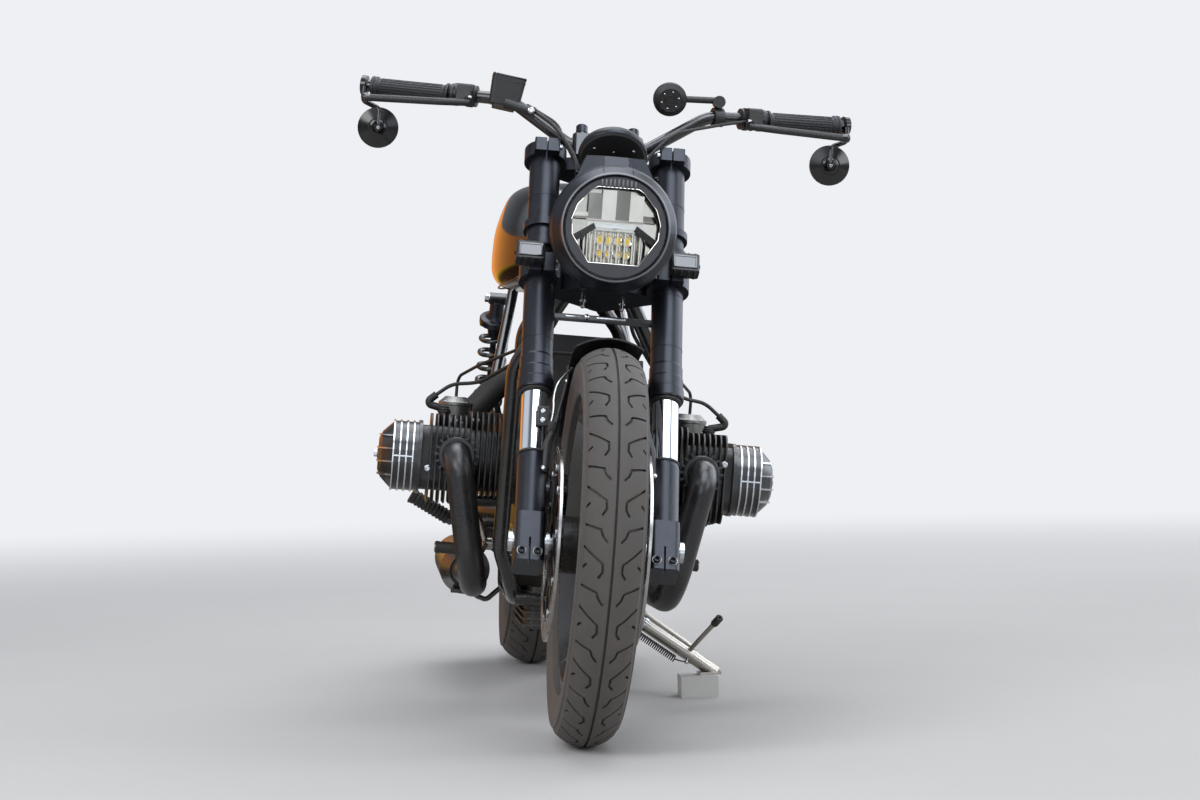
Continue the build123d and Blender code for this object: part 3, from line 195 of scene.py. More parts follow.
def ramp(tree: bpy.types.NodeTree, value: bpy.types.NodeSocket, start: float, end: float, low: float = 0.0,
         high: float = 1.0, soft: bool = False) -> bpy.types.NodeSocket:
    """Turns the run from start to end into one from low to high, with eased ends if soft."""
    kind = "SMOOTHSTEP" if soft else "LINEAR"
    return put(tree, "ShaderNodeMapRange", {"Value": value, "From Min": start, "From Max": end, "To Min": low,
                                            "To Max": high}, interpolation_type=kind).outputs[0]


Colour = tuple[float, float, float, float] | bpy.types.NodeSocket


def blend(tree: bpy.types.NodeTree, factor: bpy.types.NodeSocket, first: Colour,
          second: Colour) -> bpy.types.NodeSocket:
    """Mixes two colours, each a value or a socket."""
    return put(tree, "ShaderNodeMix", {"Factor": factor, "A": first, "B": second},
               data_type="RGBA").outputs["Result"]


@dataclass(frozen=True)
class Finish:
    """A surface finish: its colours, its gloss and the grain that its making leaves.

    Lengths are millimetres on the real surface. `dust` is how far road dust lightens the low parts,
    `edge` the radius of the rounded edges that catch the light, and `slot` a material slot name, which is not used.
    """

    name: str
    slot: str
    colour: str
    shade: str
    metallic: float = 0.0
    roughness: float = 0.5
    spread: float = 0.08
    blotch: float = 40.0
    grain: float = 0.8
    depth: float = 0.02
    coat: float = 0.0
    coat_roughness: float = 0.05
    dust: float = 0.0
    dust_colour: str = "#8d8578"
    edge: float = 0.0
    scuffs: float = 0.0
    stretch: tuple[float, float, float] = (1.0, 1.0, 1.0)
    extra: dict = field(default_factory=dict)

    def build(self) -> bpy.types.Material:
        """Builds the material, or gives it back if it is already there."""
        done = bpy.data.materials.get(self.name)
        if done:
            return done
        mat = bpy.data.materials.new(self.name)
        mat.use_nodes = True
        tree = mat.node_tree
        shader = tree.nodes["Principled BSDF"]
        for key, value in {"Metallic": self.metallic, "Coat Weight": self.coat,
                           "Coat Roughness": self.coat_roughness, **self.extra}.items():
            shader.inputs[key].default_value = value
        where = put(tree, "ShaderNodeTexCoord").outputs["Object"]
        spot = put(tree, "ShaderNodeMapping", {"Vector": where, "Scale": self.stretch}).outputs[0]
        blotch = put(tree, "ShaderNodeTexNoise",
                     {"Vector": spot, "Scale": 1000 / self.blotch, "Detail": 5.0, "Roughness": 0.6}).outputs[0]
        tint = blend(tree, blotch, linear(self.colour), linear(self.shade))
        gloss = ramp(tree, blotch, 0.3, 0.7, max(self.roughness - self.spread, 0.02),
                     min(self.roughness + self.spread, 1.0))
        if self.scuffs:
            gloss = self.scuffed(tree, where, gloss)
        if self.dust:
            tint = self.dusted(tree, where, blotch, tint)
        tree.links.new(tint, shader.inputs["Base Color"])
        tree.links.new(gloss, shader.inputs["Roughness"])
        if self.depth:
            grain = put(tree, "ShaderNodeTexNoise",
                        {"Vector": spot, "Scale": 1000 / self.grain, "Detail": 3.0}).outputs[0]
            bump = put(tree, "ShaderNodeBump", {"Height": grain, "Distance": self.depth / 1000, "Strength": 1.0})
            if self.edge:
                rounded = put(tree, "ShaderNodeBevel", {"Radius": self.edge / 1000}, samples=4)
                tree.links.new(rounded.outputs[0], bump.inputs["Normal"])
            tree.links.new(bump.outputs[0], shader.inputs["Normal"])
        return mat

    def dusted(self, tree: bpy.types.NodeTree, where: bpy.types.NodeSocket, blotch: bpy.types.NodeSocket,
               tint: bpy.types.NodeSocket) -> bpy.types.NodeSocket:
        """Lays pale road dust on the surface, more of it near the ground.

        Args:
            tree: the material's nodes.
            where: the object coordinates.
            blotch: the slow noise that breaks the dust up.
            tint: the clean colour.

        Returns:
            The dusty colour.
        """
        height = put(tree, "ShaderNodeSeparateXYZ", {0: where}).outputs["Z"]
        low = ramp(tree, height, 0.75, 0.05, 0.15)
        amount = maths(tree, "MULTIPLY", maths(tree, "MULTIPLY", low, blotch), self.dust)
        return blend(tree, amount, tint, linear(self.dust_colour))

    def scuffed(self, tree: bpy.types.NodeTree, where: bpy.types.NodeSocket,
                gloss: bpy.types.NodeSocket) -> bpy.types.NodeSocket:
        """Wipes fine hand marks into the gloss.

        Args:
            tree: the material's nodes.
            where: the object coordinates.
            gloss: the clean roughness.

        Returns:
            The roughness with the marks in it.
        """
        long = put(tree, "ShaderNodeMapping", {"Vector": where, "Rotation": (0.3, 0.7, 0.2),
                                               "Scale": (1.0, 6.0, 1.0)}).outputs[0]
        marks = put(tree, "ShaderNodeTexNoise", {"Vector": long, "Scale": 60.0, "Detail": 6.0,
                                                 "Roughness": 0.7}).outputs[0]
        return maths(tree, "ADD", gloss, ramp(tree, marks, 0.52, 0.68, 0.0, self.scuffs), clamp=True)


# Gloss powder coat: baked resin over steel, deep black with a faint orange peel
POWDER_GLOSS = Finish("gloss black powder coat", "frame_black", "#0c0c0d", "#111214", roughness=0.24, grain=2.2,
                      depth=0.05, coat=0.35, coat_roughness=0.08, dust=0.10, edge=0.8, scuffs=0.08)
# Wheel enamel: the same baked coat, a little flatter, with dust thrown up from the road
WHEEL_ENAMEL = Finish("black wheel enamel", "wheel_black", "#0c0c0e", "#121316", roughness=0.27, grain=2.0,
                      depth=0.04, coat=0.3, dust=0.16, edge=0.8, scuffs=0.06)
# Engine enamel sprayed on sand castings: satin, with the casting's fine pebbling under it
ENGINE_ENAMEL = Finish("satin black engine enamel on cast aluminium", "engine_black", "#131314", "#1b1b1c",
                       roughness=0.42, grain=1.1, depth=0.12, dust=0.25, edge=0.8, scuffs=0.06)
# Cover enamel: the castings' lids were polished first, so they come out smoother
COVER_ENAMEL = Finish("satin black cover enamel", "cover_black", "#16171a", "#1e1f22", roughness=0.33, grain=1.6,
                      depth=0.04, coat=0.25, coat_roughness=0.2, dust=0.10, edge=0.8, scuffs=0.08)
# Hard anodised aluminium: drawn tube, satin, a soft sheen that follows its length
ANODISED = Finish("black hard-anodised aluminium", "fork_black", "#1e2025", "#282b33", metallic=0.55,
                  roughness=0.34, spread=0.04, grain=0.5, depth=0.008, edge=0.6, scuffs=0.08)
# Exhaust coating: ceramic paint with a slightly chalky satin
EXHAUST_COAT = Finish("satin black ceramic exhaust coating", "pipe_black", "#17181b", "#1f2025", roughness=0.31,
                      grain=0.7, depth=0.03, dust=0.12, edge=0.6, scuffs=0.12)
# Tank lacquer: black base under clear coat, polished flat
TANK_LACQUER = Finish("black tank lacquer under clear coat", "tank_black", "#070708", "#09090b", roughness=0.14,
                      spread=0.02, grain=6.0, depth=0.01, coat=1.0, coat_roughness=0.03)
# Hard chrome ground on a centreless grinder: mirror-bright
CHROME = Finish("ground hard chrome", "fork_chrome", "#dfe2e5", "#d3d7dc", metallic=1.0, roughness=0.07,
                spread=0.02, grain=0.6, depth=0.0)
# Stainless tube, brushed along its length and a little dulled
STAINLESS = Finish("brushed stainless steel", "stainless", "#bdb9b2", "#a39e95", metallic=1.0, roughness=0.27,
                   grain=0.5, depth=0.01, stretch=(1.0, 1.0, 0.1), dust=0.12, edge=0.4)
# Zinc-plated steel: bolts and clips, bright but greyer than chrome
PLATED = Finish("bright zinc-plated steel", "stainless", "#c4c6c8", "#a9abac", metallic=1.0, roughness=0.22,
                spread=0.06, grain=0.4, depth=0.006, blotch=6.0, edge=0.3)
# Lamp face: moulded satin plastic, a dark grey against the black rings
FACE_PLATE = Finish("dark grey lamp face plastic", "plastic_black", "#2a2b2e", "#323337", roughness=0.36, grain=0.8,
                    depth=0.02)
# Grille paint: a lighter silk grey on the ribs and the bezel's inner lip
GRILLE_PAINT = Finish("silk grey bezel paint", "plastic_black", "#66686c", "#77797d", metallic=0.3, roughness=0.32,
                      grain=0.6, depth=0.01)
# Black oxide: heat-treated screws, nearly black with an oily sheen
BLACK_OXIDE = Finish("black oxide screw steel", "frame_black", "#1c1c1e", "#29292b", metallic=0.8, roughness=0.33,
                     grain=0.4, depth=0.01, blotch=5.0, edge=0.3)
# Disc steel: ground rings with the pads' polish
DISC_STEEL = Finish("ground brake disc steel", "disc_steel", "#b0afac", "#96948f", metallic=1.0, roughness=0.25,
                    grain=0.6, depth=0.01)
# Machined aluminium ribs: the coat milled off, fine tool marks across them
MILLED_RIB = Finish("milled bare aluminium ribs", "rib_metal", "#d2d4d6", "#b9bbbd", metallic=1.0, roughness=0.24,
                    grain=0.5, depth=0.01, edge=0.4)
# Die-cast aluminium left bare: grey and finely grained
CAST_METAL = Finish("bare die-cast aluminium", "carb_metal", "#8a8a89", "#6d6c67", metallic=0.9, roughness=0.40,
                    grain=0.8, depth=0.05, dust=0.2, edge=0.6)
# Moulded nylon: matt black with a spark-eroded grain
NYLON = Finish("moulded black nylon", "plastic_black", "#151516", "#1a1a1b", roughness=0.50, grain=0.7, depth=0.05,
               dust=0.12, edge=0.8)
# Vulcanised rubber: hoses, grips and gaiters, dull and slightly grey
RUBBER = Finish("black moulded rubber", "rubber_black", "#141414", "#1d1c1b", roughness=0.62, grain=0.9, depth=0.05,
                dust=0.18, edge=0.6)
# Grip rubber: softer, with a faint grey bloom on its ribs
GRIP_RUBBER = Finish("ribbed grip rubber", "rubber_black", "#1f2022", "#2b2c2f", roughness=0.55, grain=0.9,
                     depth=0.04, edge=0.5)
# Tyre rubber: scrubbed grey-brown by the road, browner where dust sits on the shoulders
TYRE = Finish("road-scrubbed tyre rubber", "tyre_rubber", "#403f3f", "#4e4c4a", roughness=0.72, blotch=26.0,
              grain=1.0, depth=0.14, dust=0.2, dust_colour="#8a7a68")
# Glossy moulded plastic on the mirrors and lamp bodies
GLOSS_PLASTIC = Finish("gloss black ABS", "mirror_black", "#0d0d0e", "#111112", roughness=0.17, spread=0.03,
                       grain=3.0, depth=0.01, edge=0.6)
# Mirror glass: silvered on its back
SILVERED = Finish("silvered mirror glass", "mirror_black", "#e8ebee", "#dfe3e6", metallic=1.0, roughness=0.03,
                  spread=0.01, depth=0.0)
# Polycarbonate lamp glass: clear and faintly cool
LAMP_GLASS = Finish("clear polycarbonate lens", "lamp_glass", "#f6f8f8", "#ffffff", roughness=0.03, spread=0.01,
                    depth=0.0, extra={"Transmission Weight": 1.0, "IOR": 1.2})
# Vacuum-metallised plastic: bright aluminium film in the lamp
METALLISED = Finish("vacuum-metallised lamp reflector", "lamp_silver", "#e9e6df", "#d8d3c8", metallic=1.0,
                    roughness=0.08, spread=0.03, blotch=14.0, depth=0.0)
# Diffuser: milky acrylic in front of the light bar, with a faint white painted glow although the lamp is unlit
DIFFUSER_PAINTED_GLOW = Finish("frosted acrylic light bar with painted glow", "lamp_glass", "#dfe1e2", "#cfd3d6", roughness=0.35, depth=0.0,
                  extra={"Subsurface Weight": 0.2, "Emission Color": linear("#ffffff"), "Emission Strength": 0.25})
# Yellow phosphor of the unlit diodes, with a faint yellow painted glow
PHOSPHOR_PAINTED_GLOW = Finish("yellow diode phosphor with painted glow", "lamp_glass", "#f2d21a", "#e6b80e", roughness=0.3, blotch=3.0,
                  depth=0.0, coat=0.8, extra={"Emission Color": linear("#f2d21a"), "Emission Strength": 0.3})
RED_LENS = Finish("red acrylic lens", "lamp_red", "#7a0708", "#8d0a0a", roughness=0.12, grain=3.0, depth=0.01,
                  coat=0.6)
# Dark smoke lens on the side lamps
SMOKE_LENS = Finish("smoked acrylic lens", "mirror_black", "#151211", "#1b1715", roughness=0.10, grain=3.0,
                    depth=0.005, coat=0.8, edge=0.5)
# Seat hide: embossed leather with a soft sheen
HIDE = Finish("black embossed seat leather", "seat_leather", "#1a1716", "#241f1d", roughness=0.48, grain=1.6,
              depth=0.22, extra={"Sheen Weight": 0.15})
# Waxed thread in the seat's seams
THREAD = Finish("waxed polyester thread", "seat_leather", "#39332d", "#4a4139", roughness=0.6, grain=0.5, depth=0.05)
# The pad under the stand's foot: pale cut stone with dark specks
PALE_STONE = Finish("pale speckled granite offcut", "block_grey", "#b9bab9", "#dcdcd9", roughness=0.75, blotch=2.4,
                    grain=1.2, depth=0.25, edge=1.0)
# Dial print: satin white ink on a black face
DIAL_INK = Finish("white dial ink", "mirror_black", "#e4e6e8", "#d8dadc", roughness=0.5, depth=0.0)

NODE_FINISHES: dict[str, Finish] = {
    **dict.fromkeys(("main_frame", "rear_subframe", "stand_lug", "footpegs", "swingarm", "handlebar",
                     "front_calipers"), POWDER_GLOSS),
    **dict.fromkeys(("front_wheel", "rear_wheel"), WHEEL_ENAMEL),
    **dict.fromkeys(("engine_block", "sump", "gearbox", "cylinders", "final_drive"), ENGINE_ENAMEL),
    "valve_covers": COVER_ENAMEL, "valve_cover_ribs": MILLED_RIB,
    **dict.fromkeys(("fork_outer_tubes", "fork_bottoms", "upper_clamp", "lower_clamp", "lamp_brackets",
                     "headlight_shell", "lamp_cowl"), ANODISED),
    **dict.fromkeys(("exhaust_headers", "exhaust_nuts", "silencers"), EXHAUST_COAT),
    **dict.fromkeys(("air_battery_case", "seat_pan", "instrument", "front_indicators", "bar_controls",
                     "brake_reservoir", "front_fender", "phone_mount", "lamp_mask"), NYLON),
    **dict.fromkeys(("intake_ducts", "grips", "bar_cables", "engine_cables", "plug_caps", "rear_shock"), RUBBER),
    **dict.fromkeys(("front_tyre", "rear_tyre"), TYRE),
    "fork_inner_tubes": CHROME, "front_axle": PLATED, "side_stand": STAINLESS, "foot_controls": STAINLESS,
    "front_discs": DISC_STEEL, "carburettors": CAST_METAL, "fuel_tank": TANK_LACQUER, "seat": HIDE,
    "tail_lamp": RED_LENS, "mirrors": GLOSS_PLASTIC, "headlight_lens": LAMP_GLASS, "lamp_reflector": METALLISED,
    "stand_block": PALE_STONE,
}


def dress(thing: bpy.types.Object, finish: Finish) -> None:
    """Gives an object one finish all over."""
    mat = finish.build()
    if not thing.data.materials:
        thing.data.materials.append(mat)
    for n in range(len(thing.data.materials)):
        thing.data.materials[n] = mat


# Tools of the bench: each leaves one object in the machine's upright millimetres

def alone(*things: bpy.types.Object) -> None:
    """Selects only these objects and makes the first one active."""
    bpy.ops.object.select_all(action="DESELECT")
    for thing in things:
        thing.select_set(True)
    if things:
        bpy.context.view_layer.objects.active = things[0]


def face_out() -> None:
    """Turns every face of the mesh being edited outwards."""
    bpy.ops.mesh.select_all(action="SELECT")
    bpy.ops.mesh.normals_make_consistent(inside=False)


@contextmanager
def editing(thing: bpy.types.Object, kind: str = "VERT") -> Iterator[None]:
    """Opens a mesh for editing with everything in it selected.

    Args:
        thing: the mesh object.
        kind: VERT, EDGE or FACE, the elements that are picked.

    Yields:
        Nothing: the operators meet the mesh while the block lasts.
    """
    alone(thing)
    bpy.ops.object.mode_set(mode="EDIT")
    bpy.ops.mesh.select_mode(type=kind)
    bpy.ops.mesh.select_all(action="SELECT")
    yield
    bpy.ops.object.mode_set(mode="OBJECT")


def pick(thing: bpy.types.Object, faces: Callable | None = None, edges: Callable | None = None,
         verts: Callable | None = None) -> None:
    """Selects the elements of the mesh being edited for which a test holds.

    Args:
        thing: the mesh object in edit mode.
        faces: a test on a face.
        edges: a test on an edge.
        verts: a test on a vertex.
    """
    bpy.ops.mesh.select_all(action="DESELECT")
    mesh = bmesh.from_edit_mesh(thing.data)
    mesh.normal_update()
    for group, test in ((mesh.faces, faces), (mesh.edges, edges), (mesh.verts, verts)):
        if test:
            for element in group:
                if test(element):
                    element.select_set(True)
    mesh.select_flush_mode()
    bmesh.update_edit_mesh(thing.data)


def chain(name: str, points: Sequence[Iterable[float]], closed: bool = False) -> bpy.types.Object:
    """Draws a run of edges by drawing one point out from place to place.

    Args:
        name: the object's name.
        points: the places, at least two.
        closed: joins the last to the first.

    Returns:
        The object, all edges.
    """
    places = [Vector(p) for p in points]
    bpy.ops.object.select_all(action="DESELECT")
    bpy.ops.mesh.primitive_plane_add(size=1, location=(0, 0, 0))
    thing = bpy.context.object
    thing.name = name
    with editing(thing):
        bpy.ops.mesh.merge(type="CENTER")
        bpy.ops.transform.translate(value=places[0])
        for here, after in zip(places, places[1:]):
            bpy.ops.mesh.extrude_region_move(TRANSFORM_OT_translate={"value": after - here})
        if closed:
            ends = (places[0], places[-1])
            pick(thing, verts=lambda v: any((v.co - e).length < 1e-4 for e in ends))
            bpy.ops.mesh.edge_face_add()
    return thing


def lathe(name: str, base: Matrix, outline: Sequence[tuple[float, float]], steps: int = 48) -> bpy.types.Object:
    """Turns an outline of (radius, height) about the normal of a work plane.

    Args:
        name: the object's name.
        base: the work plane.
        outline: the corners; it is closed unless both ends lie on the axis.
        steps: how many flats make the round.

    Returns:
        The turned object.
    """
    open_ends = outline[0][0] == 0 and outline[-1][0] == 0
    thing = chain(name, [(r, 0, h) for r, h in outline], closed=not open_ends)
    with editing(thing):
        bpy.ops.mesh.spin(steps=steps, angle=math.tau, center=(0, 0, 0), axis=(0, 0, 1))
        bpy.ops.mesh.select_all(action="SELECT")
        bpy.ops.mesh.remove_doubles(threshold=0.002)
        bpy.ops.mesh.normals_make_consistent(inside=False)
    thing.data.transform(base)
    return thing


def slab(name: str, base: Matrix, size: tuple[float, float, float], corner: float = 1.5,
         panel: float = 0.0) -> bpy.types.Object:
    """Mills a block with rounded edges, its foot on the work plane.

    Args:
        name: the object's name.
        base: the work plane.
        size: width, depth and height.
        corner: the edges' round.
        panel: how far in from its edges the top is let in by a millimetre, or 0.

    Returns:
        The block.
    """
    bpy.ops.object.select_all(action="DESELECT")
    bpy.ops.mesh.primitive_cube_add(size=1, location=(0, 0, 0.5))
    thing = bpy.context.object
    thing.name = name
    bpy.ops.object.transform_apply(location=True, rotation=False, scale=False)
    with editing(thing, "EDGE"):
        bpy.ops.transform.resize(value=size, center_override=(0, 0, 0))
        bpy.ops.mesh.bevel(offset=corner, segments=2, affect="EDGES")
        if panel:
            pick(thing, faces=lambda f: f.normal.z > 0.99 and f.calc_area() > 0.3 * size[0] * size[1])
            bpy.ops.mesh.inset(thickness=panel)
            bpy.ops.mesh.inset(thickness=0.6, depth=-1.0)
    thing.data.transform(base)
    return thing


def pipe(name: str, points: Sequence[Iterable[float]], radius: float, smooth: int = 3,
         sides: int = 10) -> bpy.types.Object:
    """Draws a round bar, wire or hose through a row of places.

    Args:
        name: the object's name.
        points: the control places.
        radius: the bar's radius.
        smooth: the order of its curve, 2 for straight runs.
        sides: how finely its round is divided.

    Returns:
        The bar as a mesh with closed ends.
    """
    line = bpy.data.curves.new(name, "CURVE")
    line.dimensions, line.bevel_depth, line.use_fill_caps = "3D", radius, True
    line.bevel_resolution = max(1, sides // 4)
    run = line.splines.new("NURBS")
    run.points.add(len(points) - 1)
    for spot, place in zip(run.points, points):
        spot.co = (*place, 1.0)
    run.order_u, run.use_endpoint_u, run.resolution_u = smooth, True, 8
    thing = bpy.data.objects.new(name, line)
    bpy.context.scene.collection.objects.link(thing)
    alone(thing)
    bpy.ops.object.convert(target="MESH")
    return bpy.context.object


def grown(thing: bpy.types.Object, kind: str, **settings) -> bpy.types.Object:
    """Puts one modifier on an object and applies it.

    Args:
        thing: the mesh object.
        kind: the modifier's type.
        settings: its properties.

    Returns:
        The same object.
    """
    alone(thing)
    made = thing.modifiers.new(kind.lower(), kind)
    for key, value in settings.items():
        setattr(made, key, value)
    bpy.ops.object.modifier_apply(modifier=made.name)
    return thing


def joined(name: str, *things: bpy.types.Object) -> bpy.types.Object:
    """Joins objects into one and names it."""
    alone(*things)
    if len(things) > 1:
        bpy.ops.object.join()
    things[0].name = name
    return things[0]


def carved(thing: bpy.types.Object, tool: bpy.types.Object, operation: str = "DIFFERENCE") -> bpy.types.Object:
    """Cuts one object with another and throws the tool away."""
    grown(thing, "BOOLEAN", operation=operation, object=tool, solver="EXACT")
    bpy.data.objects.remove(tool)
    return thing


def settle(thing: bpy.types.Object, finish: Finish, body: str, angle: float = 32.0,
           instead_of: Sequence[str] = ()) -> bpy.types.Object:
    """Finishes a piece: leans it with the machine, smooths it, dresses it and hangs it on its body.

    Args:
        thing: the piece, in upright millimetres.
        finish: its surface.
        body: the body it moves with.
        angle: the sharpest turn that still looks round, degrees.
        instead_of: the carried-over nodes that it stands for.

    Returns:
        The finished piece.
    """
    thing.data.transform(PARKED)
    alone(thing)
    bpy.ops.object.shade_smooth_by_angle(angle=math.radians(angle))
    dress(thing, finish)
    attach(thing, body)
    if instead_of:
        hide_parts(*instead_of)
    LOG.info("piece %s: %d faces on %s", thing.name, len(thing.data.polygons), body)
    return thing


class Head(Enum):
    """The kinds of screw head in the machine's drawer."""

    SOCKET = "socket cap"
    HEX = "flanged hexagon"
    DOME = "domed rivet"
    SLOT = "cheese head"


class Drawer:
    """The drawer of fasteners: one of each is modelled, at a head radius of 1, and the rest are copies."""

    masters: dict[Head, bpy.types.Object] = {}

    @classmethod
    def model(cls, head: Head) -> bpy.types.Object:
        """Models one head, or gives back the one that is there."""
        if head not in cls.masters:
            cls.masters[head] = {Head.SOCKET: cls.socket, Head.HEX: cls.hexagon, Head.DOME: cls.dome,
                                 Head.SLOT: cls.slotted}[head]()
        return cls.masters[head]

    @staticmethod
    def socket() -> bpy.types.Object:
        """Turns a cap with a six-sided socket."""
        thing = lathe("socket_master", Matrix(), [(0, -0.3), (1, -0.3), (1, 0.85), (0.88, 1.0), (0.62, 1.0)], 20)
        with editing(thing):
            bpy.ops.mesh.select_all(action="DESELECT")
            bpy.ops.mesh.primitive_circle_add(vertices=6, radius=0.56, location=(0, 0, 1.0))
            mesh = bmesh.from_edit_mesh(thing.data)
            for edge in mesh.edges:
                if all(abs(v.co.z - 1.0) < 1e-3 and v.co.xy.length < 0.7 for v in edge.verts) \
                        and len(edge.link_faces) < 2:
                    edge.select_set(True)
            bmesh.update_edit_mesh(thing.data)
            bpy.ops.mesh.select_mode(type="EDGE")
            bpy.ops.mesh.bridge_edge_loops()
            pick(thing, edges=lambda e: all(v.co.xy.length < 0.6 for v in e.verts) and len(e.link_faces) < 2)
            bpy.ops.mesh.extrude_region_move(TRANSFORM_OT_translate={"value": (0, 0, -0.7)})
            bpy.ops.mesh.edge_face_add()
        return thing

    @staticmethod
    def hexagon() -> bpy.types.Object:
        """Forges a hexagon on a round flange, with chamfered corners."""
        flange = lathe("hex_master", Matrix(), [(0, -0.2), (1.25, -0.2), (1.25, 0.12), (1.1, 0.2), (0, 0.2)], 24)
        bpy.ops.object.select_all(action="DESELECT")
        bpy.ops.mesh.primitive_cylinder_add(vertices=6, radius=1, depth=0.9, location=(0, 0, 0.55))
        nut = bpy.context.object
        bpy.ops.object.transform_apply(location=True, rotation=False, scale=False)
        with editing(nut, "FACE"):
            pick(nut, faces=lambda f: f.normal.z > 0.9)
            bpy.ops.mesh.inset(thickness=0.12)
            bpy.ops.transform.translate(value=(0, 0, 0.08))
            bpy.ops.mesh.inset(thickness=0.25)
            bpy.ops.mesh.inset(thickness=0.05, depth=-0.06)
        return joined("hex_master", flange, nut)

    @staticmethod
    def dome() -> bpy.types.Object:
        """Turns a shallow domed head."""
        return lathe("dome_master", Matrix(), [(0, -0.3), (1, -0.3), (1, 0.1), (0.85, 0.35), (0.5, 0.55),
                                               (0, 0.62)], 20)

    @staticmethod
    def slotted() -> bpy.types.Object:
        """Turns a cheese head and saws its slot."""
        thing = lathe("slot_master", Matrix(), [(0, -0.3), (1, -0.3), (1, 0.6), (0.9, 0.7), (0, 0.7)], 20)
        saw = slab("saw", shift(0, 0, 0.35), (3, 0.28, 1), 0.02)
        return carved(thing, saw)

    @classmethod
    def fit(cls, name: str, head: Head, places: Sequence[tuple[Matrix, float]], finish: Finish,
            body: str) -> bpy.types.Object:
        """Fits a set of screws.

        Args:
            name: the set's name.
            head: the kind of head.
            places: a work plane and a head radius for each.
            finish: their surface.
            body: the body that they move with.

        Returns:
            The set as one object.
        """
        twins = []
        for at, radius in places:
            twin = cls.model(head).copy()
            twin.data = twin.data.copy()
            twin.data.transform(at @ Matrix.Scale(radius, 4))
            bpy.context.scene.collection.objects.link(twin)
            twins.append(twin)
        return settle(joined(name, *twins), finish, body)

    @classmethod
    def close(cls) -> None:
        """Puts the masters away."""
        for thing in cls.masters.values():
            bpy.data.objects.remove(thing)
        cls.masters.clear()


class Kit:
    """A set of small parts that ride on one body."""

    body: str = "steering"

    def hang(self, thing: bpy.types.Object, finish: Finish, angle: float = 32.0,
             instead_of: Sequence[str] = ()) -> bpy.types.Object:
        return settle(thing, finish, self.body, angle, instead_of)

    def gather(self, name: str, things: Sequence[bpy.types.Object], finish: Finish, angle: float = 32.0,
               instead_of: Sequence[str] = ()) -> bpy.types.Object:
        return self.hang(joined(name, *things), finish, angle, instead_of)

    def screw(self, name: str, head: Head, places: Sequence[tuple[Matrix, float]],
              finish: Finish = PLATED) -> bpy.types.Object:
        return Drawer.fit(name, head, places, finish, self.body)


